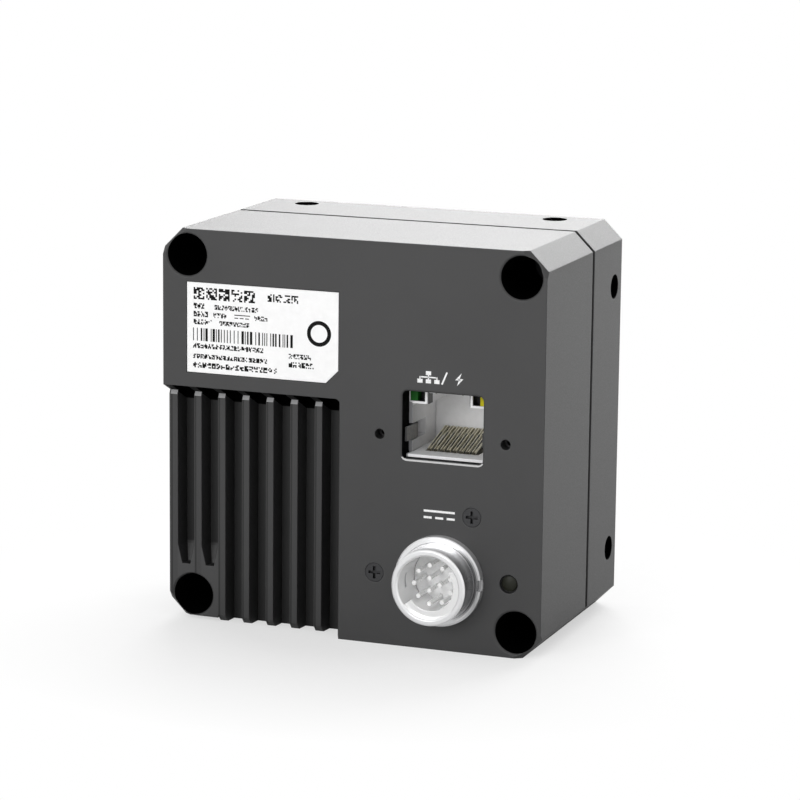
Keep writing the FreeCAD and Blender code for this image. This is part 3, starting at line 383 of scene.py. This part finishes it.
def rib_details(s, x, y, z, shade, colour):
    """Painted shade in the grooves, turning black as a painted shadow under the label, and on the
    ribs a painted highlight on the upper facet and painted shade on the faces.
    """
    first_groove = (GROOVE_START - GROOVE_MARGIN) * MM
    turn = s.math("FLOORED_MODULO", s.math("SUBTRACT", x, first_groove), RIB_PITCH * MM)
    groove = s.math("LESS_THAN", turn, (GROOVE_WIDTH + 2 * GROOVE_MARGIN) * MM)
    rib = s.math("SUBTRACT", 1.0, groove)
    zone = s.all_of(
        s.math("LESS_THAN", x, (RIB_ZONE_RIGHT + 0.04) * MM),
        s.within(z, (BASE_Z + 0.05) * MM, (RIB_ZONE_TOP - 0.01) * MM),
        s.math("GREATER_THAN", y, (REAR_FACE + FACE_MARGIN) * MM),
    )
    groove = s.all_of(zone, groove, s.math("GREATER_THAN", x, first_groove))
    deep = s.all_of(groove, s.math("GREATER_THAN", y, (PAD_FACE + FACE_MARGIN) * MM))
    # Painted shade: the grooves' walls and floors much darker
    shade = s.mix(deep, shade, tone(colour, 0.13))
    off_floor = s.math("LESS_THAN", y, (GROOVE_FLOOR - 0.15) * MM)
    rib_wall = s.all_of(deep, off_floor, s.math("LESS_THAN", turn, GROOVE_WIDTH / 2 * MM))
    # The painted shade is lighter on the ribs' walls
    shade = s.mix(rib_wall, shade, tone(colour, 0.6))
    # Painted shadow: black where the label's raised edge shades the grooves, reaching lower the
    # deeper the surface
    limits = (PAD_FACE * MM, GROOVE_FLOOR * MM, LABEL_SHADE_SHORT * MM, LABEL_SHADE_LONG * MM)
    shaded = s.math("GREATER_THAN", s.math("ADD", z, s.level(y, *limits)), RIB_ZONE_TOP * MM)
    black = s.all_of(groove, shaded)

    face_top = (RIB_FACE_TOP - FACE_MARGIN) * MM
    on_rib = s.all_of(zone, rib, s.math("LESS_THAN", y, (PAD_FACE + 0.5) * MM))
    slope = s.all_of(on_rib, s.math("GREATER_THAN", z, RIB_NOTCH_TOP * MM))
    # Painted shadow: the slopes above the ribs' notches nearly black
    black = s.math("MAXIMUM", black, s.math("MULTIPLY", slope, 0.8))
    # Painted highlight: the bright upper facet of each rib
    facet = s.all_of(on_rib, s.within(z, face_top, RIB_NOTCH_TOP * MM))
    shade = s.mix(facet, shade, (0.31, 0.31, 0.315))
    # Painted shade: the ribs' faces a little darker, and their left part much darker
    face = s.all_of(on_rib, s.math("LESS_THAN", z, face_top))
    shade = s.mix(face, shade, tone(colour, 0.80))
    left_part = s.all_of(face, s.math("LESS_THAN", turn, (GROOVE_WIDTH + RIB_LEFT_PART) * MM))
    return s.mix(left_part, shade, tone(colour, 0.15)), black


def metal(name, colour, roughness, grain_scale=2500.0, bump=0.004, share=1.0):
    """Plated or turned metal with a fine grain. The share is how much reflects as bare metal."""
    s = Shader(name)
    normal = s.rounded(0.12 * MM)
    grain = s.noise(grain_scale, 3.0, 0.6)
    shade = s.mix(s.level(grain, 0.3, 0.7), tone(colour, 0.94), tone(colour, 1.12))
    rough = s.level(grain, 0.3, 0.7, roughness * 0.85, roughness * 1.2)
    return s.surface(shade, rough, share, s.bump(grain, bump * MM, normal, 0.5))


def plastic(name, colour, roughness, bump=0.01, **others):
    """Moulded plastic with a slight grain."""
    s = Shader(name)
    normal = s.rounded(0.08 * MM)
    grain = s.noise(1800.0, 2.0, 0.5)
    shade = s.mix(s.level(grain, 0.3, 0.7), tone(colour, 0.95), tone(colour, 1.05))
    rough = s.level(grain, 0.3, 0.7, roughness * 0.9, roughness * 1.1)
    return s.surface(shade, rough, 0.0, s.bump(grain, bump * MM, normal, 0.4), **others)


def socket_body(name):
    """Pale plastic with painted shade, darker in its corners, along its left, beside its latch
    opening and between the contacts, and black in the light windows, and with painted highlights on
    its edges."""
    s = Shader(name)
    normal, edge = s.edges(0.08 * MM)
    x, y, z = s.axes()
    grain = s.noise(1500.0, 2.0, 0.5)
    colour = s.mix(s.level(grain, 0.3, 0.7), (0.88, 0.88, 0.89), (0.92, 0.92, 0.93))
    # Painted shade: darker in the corners, by how closed in they are
    corners = s.math("MULTIPLY", s.hollow(0.6 * MM, 0.35, 0.75), 0.45)
    colour = s.mix(corners, colour, grey(0.10))
    # Painted highlight: lighter along the edges
    colour = s.mix(edge, colour, grey(0.95))
    from_middle = s.math("SUBTRACT", x, PORT_X * MM)
    across = s.math("ABSOLUTE", from_middle)
    shade_end = (PORT_WALL_INSIDE + LEFT_WALL_SHADE_DEPTH) * MM
    # Painted shade: the left wall darker near the front, fading deeper in
    left_wall = s.all_of(
        s.math("LESS_THAN", from_middle, (0.15 - PLUG_HALF_WIDTH) * MM),
        s.math("LESS_THAN", z, LEFT_WALL_SHADE_TOP_Z * MM),
        s.level(y, (PORT_WALL_INSIDE + 0.1) * MM, shade_end, 0.62, 0.0),
        s.math("GREATER_THAN", y, (PORT_WALL_INSIDE + 0.05) * MM),
    )
    colour = s.mix(left_wall, colour, grey(0.12))
    # Painted shade: a grey strip on the face left of the plug opening
    left_strip = s.all_of(
        s.math("LESS_THAN", from_middle, -PLUG_HALF_WIDTH * MM),
        s.math("LESS_THAN", y, (PORT_WALL_INSIDE + FACE_MARGIN) * MM),
        s.math("LESS_THAN", z, (LIGHT_WINDOW_BOTTOM_Z - 0.15) * MM),
    )
    colour = s.mix(left_strip, colour, (0.30, 0.30, 0.31))
    # Painted shade: black in the recessed light windows
    window = s.all_of(
        s.within(across, (LIGHT_WINDOW_INNER - 0.02) * MM, (LIGHT_WINDOW_OUTER + 0.02) * MM),
        s.math("GREATER_THAN", z, (LIGHT_WINDOW_BOTTOM_Z - 0.02) * MM),
        s.within(y, (PORT_WALL_INSIDE - 0.02) * MM, (PORT_WALL_INSIDE + 1.6) * MM),
    )
    colour = s.mix(window, colour, (0.004, 0.004, 0.006))
    # Painted shade: dark on the comb between the contacts
    comb = s.all_of(
        s.math("LESS_THAN", across, COMB_HALF_WIDTH * MM),
        s.math("LESS_THAN", z, COMB_TOP_Z * MM),
        s.math("GREATER_THAN", y, (PORT_WALL_INSIDE + COMB_FRONT_DEPTH) * MM),
    )
    colour = s.mix(comb, colour, (0.035, 0.033, 0.027))
    # Painted shade: dark walls beside the latch step and its tip
    notches = []
    for half_width, from_z, depth in (
        (LATCH_STEP_HALF_WIDTH, LATCH_STEP_SHADE_FROM_Z, LATCH_STEP_SHADE_DEPTH),
        (LATCH_TIP_HALF_WIDTH, LATCH_TIP_SHADE_FROM_Z, LATCH_TIP_SHADE_DEPTH),
    ):
        beside = s.within(across, (half_width - 0.05) * MM, (half_width + LATCH_SHADE_WIDTH) * MM)
        above = s.math("GREATER_THAN", z, from_z * MM)
        in_front = s.math("LESS_THAN", y, (PORT_WALL_INSIDE + depth) * MM)
        notches.append(s.all_of(beside, above, in_front))
    colour = s.mix(s.math("MAXIMUM", *notches), colour, grey(0.07))
    return s.surface(colour, 0.38, 0.0, s.bump(grain, 0.006 * MM, normal, 0.4))


def sheet_metal(name):
    """Dull sheet steel, with painted shade at its front ends and on its side walls."""
    s = Shader(name)
    normal = s.rounded(0.1 * MM)
    x, y, _ = s.axes()
    grain = s.noise(2500.0, 3.0, 0.6)
    shade = s.mix(s.level(grain, 0.3, 0.7), (0.24, 0.24, 0.245), (0.32, 0.32, 0.325))
    across = s.math("ABSOLUTE", s.math("SUBTRACT", x, PORT_X * MM))
    # Painted shade: the side walls nearly black
    shade = s.mix(s.math("GREATER_THAN", across, SHIELD_WALL_FROM * MM), shade, grey(0.03))
    # Painted shade: the front ends dark
    dark_end = (REAR_FACE + SHIELD_TIP_DARK_DEPTH) * MM
    tip_end = (REAR_FACE + SHIELD_TIP_DEPTH) * MM
    shade = s.mix(s.level(y, dark_end, tip_end, 0.85, 0.0), shade, grey(0.02))
    return s.surface(shade, 0.5, 0.8, s.bump(grain, 0.004 * MM, normal, 0.5))


def contact_strip(name):
    """Plated strip with painted highlights along its edges, a black slit painted as the shade inside
    its loop, and painted shade at its front end.
    """
    s = Shader(name)
    normal = s.rounded(0.1 * MM)
    x, y, z = s.axes()
    grain = s.noise(1400.0, 3.0, 0.6)
    turn = s.math("FLOORED_MODULO", s.math("SUBTRACT", x, PORT_X * MM), CONTACT_PITCH * MM)
    off_centre = s.math("ABSOLUTE", s.math("SUBTRACT", turn, CONTACT_PITCH / 2 * MM))
    border = s.level(off_centre, CONTACT_CORE * MM, CONTACT_BORDER * MM)
    slit = s.within(z, CONTACT_SLIT_LOW * MM, CONTACT_SLIT_HIGH * MM)
    shade = s.mix(s.level(grain, 0.35, 0.65), (0.16, 0.14, 0.09), (0.32, 0.29, 0.19))
    # Painted shade: a black slit in the middle, for the dark inside of each loop
    shade = s.mix(slit, shade, (0.004, 0.004, 0.003))
    # Painted highlight: bright edges along each strip
    shade = s.mix(border, shade, (0.82, 0.77, 0.60))
    # Painted shade: the front end dark
    front_end = s.math("LESS_THAN", y, (PORT_WALL_INSIDE + CONTACT_DARK_DEPTH) * MM)
    shade = s.mix(front_end, shade, (0.05, 0.045, 0.03))
    return s.surface(shade, 0.32, 0.35, s.bump(grain, 0.003 * MM, normal, 0.5))


def turned_metal(name):
    """Smooth plated metal, with painted shade along the right of the connector's tube and ring, and a
    little painted light inside its bore.
    """
    s = Shader(name)
    normal = s.rounded(0.12 * MM)
    x, y, z = s.axes()
    grain = s.noise(4200.0, 2.0, 0.5)
    shade = s.mix(s.level(grain, 0.3, 0.7), (0.88, 0.88, 0.89), (0.92, 0.92, 0.93))
    radius = s.distance(x, z, PORT_X * MM, CONNECTOR_Z * MM)
    # Painted light: a little lighter inside the bore
    shade = s.mix(s.math("LESS_THAN", radius, (TUBE_BORE_RADIUS + 0.05) * MM), shade, grey(0.96))
    to_right = s.math("SUBTRACT", x, PORT_X * MM)
    # Painted shade: the tube darker towards its right
    tube = s.all_of(
        s.within(radius, TUBE_SHADE_INNER * MM, TUBE_SHADE_OUTER * MM),
        s.math("GREATER_THAN", y, (CONNECTOR_RIM + 0.4) * MM),
        s.level(to_right, TUBE_SHADE_FROM * MM, TUBE_SHADE_FULL * MM, 0.0, 0.9),
    )
    shade = s.mix(tube, shade, (0.14, 0.14, 0.145))
    # Painted shade: the ring darker towards its right
    ring = s.all_of(
        s.math("GREATER_THAN", radius, TUBE_SHADE_OUTER * MM),
        s.level(to_right, RING_SHADE_FROM * MM, TUBE_SHADE_OUTER * MM, 0.0, 0.8),
    )
    shade = s.mix(ring, shade, (0.48, 0.48, 0.485))
    return s.surface(shade, 0.27, 0.6, s.bump(grain, 0.0006 * MM, normal, 0.4))


def glass(name, colour):
    """Clear glass with a faint smear."""
    s = Shader(name)
    smear = s.noise(90.0, 3.0)
    rough = s.level(smear, 0.3, 0.7, 0.02, 0.04)
    return s.surface(colour, rough, 0.0, None, Transmission_Weight=1.0, IOR=1.46)


def board_green(name):
    """Solder mask with a faint pattern of tracks under it."""
    s = Shader(name)
    tracks = s.node("TexVoronoi")
    tracks.inputs["Scale"].default_value = 260.0
    s.feed(tracks.inputs["Vector"], s.position())
    between = s.level(tracks.outputs["Distance"], 0.2, 0.5)
    shade = s.mix(between, (0.01, 0.07, 0.035), (0.015, 0.1, 0.05))
    return s.surface(shade, 0.35)


def dress(material, *names):
    """Give the CAD pieces of these nodes one material."""
    for name in names:
        mesh = nodes[name].data
        mesh.materials.clear()
        mesh.materials.append(material)


HOUSING_GREY = (0.040, 0.040, 0.0405)
rear_holes = (corner_hole_mask, lock_hole_mask)
dress(paint("rear_coating", HOUSING_GREY, rear_holes, rear_details), "rear_housing")
front_coating = paint("front_coating", HOUSING_GREY, (side_hole_mask,))
dress(front_coating, "front_housing")
black_screw = metal("black_screw", (0.03, 0.03, 0.032), 0.45)
dress(black_screw, "clamp_screws", "sensor_board_screws", "stack_screws")
dress(metal("flush_screw", (0.055, 0.055, 0.057), 0.5), "cover_screws")
dress(plastic("seal_rubber", grey(0.012), 0.7), "housing_gasket", "power_connector_gasket")
dress(glass("filter_glass", (0.92, 0.96, 0.96)), "filter_glass", "sensor_cover_glass")
dress(metal("black_anodised", (0.02, 0.02, 0.022), 0.4), "filter_retaining_ring")
dress(plastic("sensor_ceramic", (0.05, 0.04, 0.035), 0.45), "sensor_package")
dress(metal("sensor_silicon", (0.05, 0.09, 0.12), 0.15, grain_scale=900.0, bump=0.0), "sensor_die")
dress(board_green("solder_mask"), "sensor_board", "main_board", "interface_board")
dress(
    plastic("chip_compound", (0.014, 0.014, 0.015), 0.6),
    "processor_chip",
    "memory_chips",
    "ethernet_transformer",
    "power_inductor",
)
dress(plastic("gap_filler", (0.25, 0.3, 0.42), 0.8), "thermal_pad")
dress(plastic("natural_nylon", (0.5, 0.46, 0.36), 0.5), "board_link_front", "board_link_rear")
dress(metal("nickel_post", (0.6, 0.57, 0.5), 0.3), "board_standoffs", "board_spacers")
dress(plastic("led_body", (0.7, 0.7, 0.6), 0.4), "status_led_chip")
smoky_lens = plastic("smoky_lens", (0.013, 0.0138, 0.0085), 0.5, bump=0.0, Specular_IOR_Level=0.22)
dress(smoky_lens, "status_light_pipe")
dress(sheet_metal("socket_steel"), "rj45_shield")
dress(socket_body("socket_plastic"), "rj45_insert")
dress(contact_strip("contact_gold"), "rj45_contacts")
green_lens = plastic("green_lens", (0.003, 0.09, 0.005), 0.5, bump=0.0, Specular_IOR_Level=0.2)
dress(green_lens, "rj45_led_green")
yellow_lens = plastic("yellow_lens", (0.62, 0.54, 0.004), 0.45, bump=0.0, Specular_IOR_Level=0.2)
dress(yellow_lens, "rj45_led_yellow")
dress(turned_metal("satin_nickel"), "power_connector_shell", "power_connector_ring_nut")
dress(plastic("insulator", (0.96, 0.96, 0.965), 0.4, bump=0.002), "power_connector_insert")
dress(metal("pin_plating", (0.95, 0.95, 0.94), 0.3, share=0.4), "power_connector_pins")


# Label

def label_film(name):
    """White film with a slight mottle and a soft sheen."""
    s = Shader(name)
    normal = s.rounded(0.05 * MM)
    mottle = s.noise(900.0, 3.0, 0.6)
    shade = s.mix(s.level(mottle, 0.3, 0.7), grey(0.95), grey(1.0))
    rough = s.level(mottle, 0.3, 0.7, 0.42, 0.5)
    return s.surface(shade, rough, 0.0, s.bump(mottle, 0.004 * MM, normal, 0.3))


def ink(name, colour):
    """Printed ink with slightly uneven cover."""
    s = Shader(name)
    cover = s.noise(3500.0, 2.0, 0.6)
    shade = s.mix(s.level(cover, 0.3, 0.7), tone(colour, 0.85), tone(colour, 1.15))
    return s.surface(shade, 0.7, 0.0, Specular_IOR_Level=0.1)


dress(label_film("label_film"), "nameplate_label")

RING_STEPS = 48
LABEL_PRINT_LIFT = 0.012
SIGN_LIFT = 0.015
BLOCK_PRINT_SHARE = 0.86
SQUARE_CHANCE = 0.62

# Each line of print: left, right, bottom, top and the width of one patch
HEADING = (-25.9, -15.5, 20.2, 22.05, 2.1)
SIDE_HEADING = (-13.6, -7.9, 20.6, 21.8, 1.3)
PRINT_LINES = (
    (-25.9, -24.0, 18.75, 19.6, 0.62),
    (-22.4, -15.0, 18.75, 19.5, 0.56),
    (-25.9, -23.5, 17.5, 18.35, 0.62),
    (-22.6, -20.1, 17.5, 18.25, 0.56),
    (-15.8, -13.3, 17.5, 18.25, 0.56),
    (-25.9, -22.8, 16.3, 17.1, 0.62),
    (-21.6, -16.7, 16.35, 17.05, 0.56),
    (-26.0, -14.4, 12.6, 13.35, 0.62),
    (-10.1, -6.1, 12.1, 12.85, 0.62),
    (-26.0, -13.9, 11.0, 11.7, 0.62),
    (-10.1, -5.8, 10.75, 11.6, 0.7),
    (-26.0, -11.6, 9.55, 10.4, 0.78),
)
BARS_LEFT = -26.0
BARS_RIGHT = -9.5
BARS_BOTTOM = 13.75
BARS_TOP = 15.75
BAR_WIDTHS = (0.14, 0.14, 0.26, 0.4)
BAR_GAPS = (0.16, 0.22, 0.36, 0.5)
# Left ends of the dashes, right end, width of a dash, and bottom and top of the bar and the dashes
LABEL_SUPPLY_SIGN = ((-19.1, -18.2, -17.3), -16.5, 0.62, (18.08, 18.22), (17.62, 17.76))
# Centre, and outer and inner radius
LABEL_RING = (-5.15, 16.27, 1.97, 1.36)

SIGN_Z = 11.0
SIGN_STROKE = 0.26
TREE_X = 12.6
TREE_PITCH = 1.35
TREE_BOX_Z = 0.62
TREE_BOX_HALF_WIDTH = 0.42
TREE_BOX_HALF_HEIGHT = TREE_BOX_HALF_WIDTH * 0.72
TREE_LINE = SIGN_STROKE * 0.8
SLASH_LEFT = 14.75
SLASH_RIGHT = 15.55
SLASH_HALF_HEIGHT = 0.95
SPARK_X = 17.5
SPARK = (
    ((0.35, 0.98), (-0.65, -0.12), (-0.08, -0.12), (0.1, 0.2)),
    ((-0.35, -0.98), (0.65, 0.12), (0.08, 0.12), (-0.1, -0.2)),
    ((-0.08, -0.12), (0.25, -0.12), (0.08, 0.12), (-0.25, 0.12)),
)
SUPPLY_SIGN_Z = -10.0


class Print:
    """Flat printed shapes just above a face that looks towards -Y."""

    def __init__(self, face_y):
        self.mesh = bmesh.new()
        self.y = face_y * MM

    def polygon(self, outline):
        verts = [self.mesh.verts.new((x * MM, self.y, z * MM)) for x, z in outline]
        self.mesh.faces.new(verts)

    def bar(self, x_low, x_high, z_low, z_high):
        self.polygon([(x_low, z_low), (x_high, z_low), (x_high, z_high), (x_low, z_high)])

    def stroke(self, x0, z0, x1, z1, width):
        length = math.hypot(x1 - x0, z1 - z0)
        nx = -(z1 - z0) / length * width / 2
        nz = (x1 - x0) / length * width / 2
        self.polygon([(x0 + nx, z0 + nz), (x0 - nx, z0 - nz), (x1 - nx, z1 - nz), (x1 + nx, z1 + nz)])

    def ring(self, x, z, outer, inner):
        for step in range(RING_STEPS):
            a = math.radians(360.0 * step / RING_STEPS)
            b = math.radians(360.0 * (step + 1) / RING_STEPS)
            self.polygon(
                [
                    (x + outer * math.cos(a), z + outer * math.sin(a)),
                    (x + outer * math.cos(b), z + outer * math.sin(b)),
                    (x + inner * math.cos(b), z + inner * math.sin(b)),
                    (x + inner * math.cos(a), z + inner * math.sin(a)),
                ]
            )

    def finish(self, name, material):
        data = bpy.data.meshes.new(name)
        bmesh.ops.recalc_face_normals(self.mesh, faces=self.mesh.faces)
        for face in self.mesh.faces:
            if face.normal.y > 0:
                face.normal_flip()
        self.mesh.to_mesh(data)
        self.mesh.free()
        data.materials.append(material)
        made = bpy.data.objects.new(name, data)
        scene.collection.objects.link(made)
        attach(made, "root")


def direct_current(sheet, lefts, right, dash, upper, lower):
    """A bar over three dashes. Upper and lower are their bottom and top."""
    sheet.bar(lefts[0], right, *upper)
    for x in lefts:
        sheet.bar(x, x + dash, *lower)


def plain_blocks(sheet, x_low, x_high, z_low, z_high, block, rng, columns=3, rows=4):
    """A row of patches of scattered squares that stands for a line of print and can't be read."""
    wide = block * BLOCK_PRINT_SHARE / columns
    tall = (z_high - z_low) / rows
    x = x_low
    while x < x_high - block * 0.5:
        for column in range(columns):
            for row in range(rows):
                if rng.random() < SQUARE_CHANCE:
                    left = x + column * wide
                    low = z_low + row * tall
                    sheet.bar(left, left + wide, low, low + tall)
        x += block


def make_label_print():
    """Rows of scattered squares, a made-up row of bars, a direct current sign and a plain ring."""
    rng = random.Random(11)
    sheet = Print(LABEL_FACE - LABEL_PRINT_LIFT)
    plain_blocks(sheet, *HEADING, rng, 7, 7)
    plain_blocks(sheet, *SIDE_HEADING, rng, 5, 5)
    for line in PRINT_LINES:
        plain_blocks(sheet, *line, rng)
    direct_current(sheet, *LABEL_SUPPLY_SIGN)
    x = BARS_LEFT
    while x < BARS_RIGHT:
        width = rng.choice(BAR_WIDTHS)
        sheet.bar(x, x + width, BARS_BOTTOM, BARS_TOP)
        x += width + rng.choice(BAR_GAPS)
    sheet.ring(*LABEL_RING)
    sheet.finish("label_print", ink("label_ink", grey(0.006)))


def make_port_signs():
    """White signs over the sockets: a network tree, a slash, a spark and a direct current sign."""
    sheet = Print(REAR_FACE - SIGN_LIFT)
    z = SIGN_Z
    feet = (TREE_X - TREE_PITCH, TREE_X, TREE_X + TREE_PITCH)
    for x, level in [(TREE_X, z + TREE_BOX_Z)] + [(foot, z - TREE_BOX_Z) for foot in feet]:
        sheet.bar(
            x - TREE_BOX_HALF_WIDTH,
            x + TREE_BOX_HALF_WIDTH,
            level - TREE_BOX_HALF_HEIGHT,
            level + TREE_BOX_HALF_HEIGHT,
        )
    sheet.stroke(feet[0], z, feet[-1], z, TREE_LINE)
    for x in feet:
        sheet.stroke(x, z + 0.1, x, z - 0.35, TREE_LINE)
    sheet.stroke(TREE_X, z + 0.35, TREE_X, z, TREE_LINE)
    sheet.stroke(SLASH_LEFT, z - SLASH_HALF_HEIGHT, SLASH_RIGHT, z + SLASH_HALF_HEIGHT, SIGN_STROKE)
    for outline in SPARK:
        sheet.polygon([(SPARK_X + across, z + up) for across, up in outline])
    z = SUPPLY_SIGN_Z
    upper = (z + 0.36, z + 0.70)
    lower = (z - 0.64, z - 0.30)
    direct_current(sheet, (12.1, 13.95, 15.8), 17.1, 1.3, upper, lower)
    sheet.finish("port_signs", ink("white_ink", grey(0.96)))


def make_lens_thread():
    """The ridge of the thread that winds along the lens mount's bore, with a taper at each end."""
    mesh = bmesh.new()
    count = int(THREAD_STEPS * THREAD_TURNS)
    foot = MOUNT_RADIUS + THREAD_FOOT_SUNK
    before = None
    for step in range(count + 1):
        angle = 2 * math.pi * step / THREAD_STEPS
        y = THREAD_START - THREAD_PITCH * step / THREAD_STEPS
        taper = min(1.0, step / THREAD_TAPER_STEPS, (count - step) / THREAD_TAPER_STEPS)
        crest = MOUNT_RADIUS - THREAD_HEIGHT * taper
        section = (
            (foot, y + THREAD_FOOT_HALF_WIDTH),
            (crest, y + THREAD_CREST_HALF_WIDTH),
            (crest, y - THREAD_CREST_HALF_WIDTH),
            (foot, y - THREAD_FOOT_HALF_WIDTH),
        )
        ring = []
        for radius, at in section:
            place = (radius * math.sin(angle) * MM, at * MM, radius * math.cos(angle) * MM)
            ring.append(mesh.verts.new(place))
        if before is None:
            mesh.faces.new(ring)
        else:
            for side in range(4):
                other = (side + 1) % 4
                mesh.faces.new((before[side], before[other], ring[other], ring[side]))
        before = ring
    mesh.faces.new(before)
    bmesh.ops.recalc_face_normals(mesh, faces=mesh.faces)
    data = bpy.data.meshes.new("lens_thread")
    mesh.to_mesh(data)
    mesh.free()
    data.materials.append(front_coating)
    made = bpy.data.objects.new("lens_thread", data)
    scene.collection.objects.link(made)
    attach(made, "root")


make_label_print()
make_port_signs()
make_lens_thread()


# Floor, backdrop and light

FLOOR_HALF_SIZE = 6.0
FLOOR_CENTRE_Y = -15.0
SHADOW_RADIUS = 30.0
WHITE_RADIUS = 75.0
SHADOW_WHITE_SHARE = 0.55
WORLD_LEVEL = 0.45
LAMP_TARGET = (0, -0.02, 0)


def studio_floor():
    """Pale paper that fades to plain white away from the part, for the camera only."""
    size = FLOOR_HALF_SIZE
    data = bpy.data.meshes.new("floor")
    z = BASE_Z * MM
    corners = [(-size, -size, z), (size, -size, z), (size, size, z), (-size, size, z)]
    data.from_pydata(corners, [], [(0, 1, 2, 3)])
    floor = bpy.data.objects.new("floor", data)
    scene.collection.objects.link(floor)
    s = Shader("floor_paper")
    speckle = s.noise(300.0, 2.0)
    colour = s.mix(speckle, grey(0.93), grey(0.97))
    shader = s.node("BsdfPrincipled")
    s.feed(shader.inputs["Base Color"], colour)
    shader.inputs["Roughness"].default_value = 0.9
    white = s.node("Emission")
    white.inputs["Color"].default_value = (1.0, 1.0, 1.0, 1.0)
    white.inputs["Strength"].default_value = 1.0
    x, y, _ = s.axes()
    from_centre = s.distance(x, y, 0.0, FLOOR_CENTRE_Y * MM)
    away = s.level(from_centre, SHADOW_RADIUS * MM, WHITE_RADIUS * MM, SHADOW_WHITE_SHARE, 1.0)
    seen = s.math("MULTIPLY", away, s.node("LightPath").outputs["Is Camera Ray"])
    blend = s.node("MixShader")
    s.feed(blend.inputs[0], seen)
    s.feed(blend.inputs[1], shader.outputs[0])
    s.feed(blend.inputs[2], white.outputs[0])
    s.feed(s.output.inputs["Surface"], blend.outputs[0])
    data.materials.append(s.material)


def studio_world():
    """White to the camera, in reflections and through glass, and dimmer as a light."""
    world = bpy.data.worlds.new("studio")
    scene.world = world
    world.use_nodes = True
    tree = world.node_tree
    tree.nodes.clear()
    path = tree.nodes.new("ShaderNodeLightPath")
    seen = path.outputs["Is Camera Ray"]
    for name in ("Is Glossy Ray", "Is Transmission Ray"):
        step = tree.nodes.new("ShaderNodeMath")
        step.operation = "MAXIMUM"
        tree.links.new(seen, step.inputs[0])
        tree.links.new(path.outputs[name], step.inputs[1])
        seen = step.outputs[0]
    mix = tree.nodes.new("ShaderNodeMixShader")
    tree.links.new(seen, mix.inputs[0])
    for socket, strength in ((mix.inputs[1], WORLD_LEVEL), (mix.inputs[2], 1.0)):
        light = tree.nodes.new("ShaderNodeBackground")
        light.inputs["Color"].default_value = (1.0, 1.0, 1.0, 1.0)
        light.inputs["Strength"].default_value = strength
        tree.links.new(light.outputs[0], socket)
    out = tree.nodes.new("ShaderNodeOutputWorld")
    tree.links.new(mix.outputs[0], out.inputs[0])


def soft_box(name, place, width, height, power):
    """A rectangular lamp that points at the part."""
    data = bpy.data.lights.new(name, "AREA")
    data.shape = "RECTANGLE"
    data.size = width
    data.size_y = height
    data.energy = power
    lamp = bpy.data.objects.new(name, data)
    lamp.location = place
    lamp.rotation_euler = (Vector(LAMP_TARGET) - Vector(place)).to_track_quat("-Z", "Y").to_euler()
    scene.collection.objects.link(lamp)


studio_floor()
studio_world()
soft_box("key", (-0.20, -0.98, 0.36), 0.5, 0.5, 4.1)
soft_box("side", (0.9, -0.25, 0.35), 0.5, 0.5, 0.2)
soft_box("top_back", (0.0, 0.75, 0.45), 0.9, 0.45, 9.4)
scene.view_settings.view_transform = "Standard"
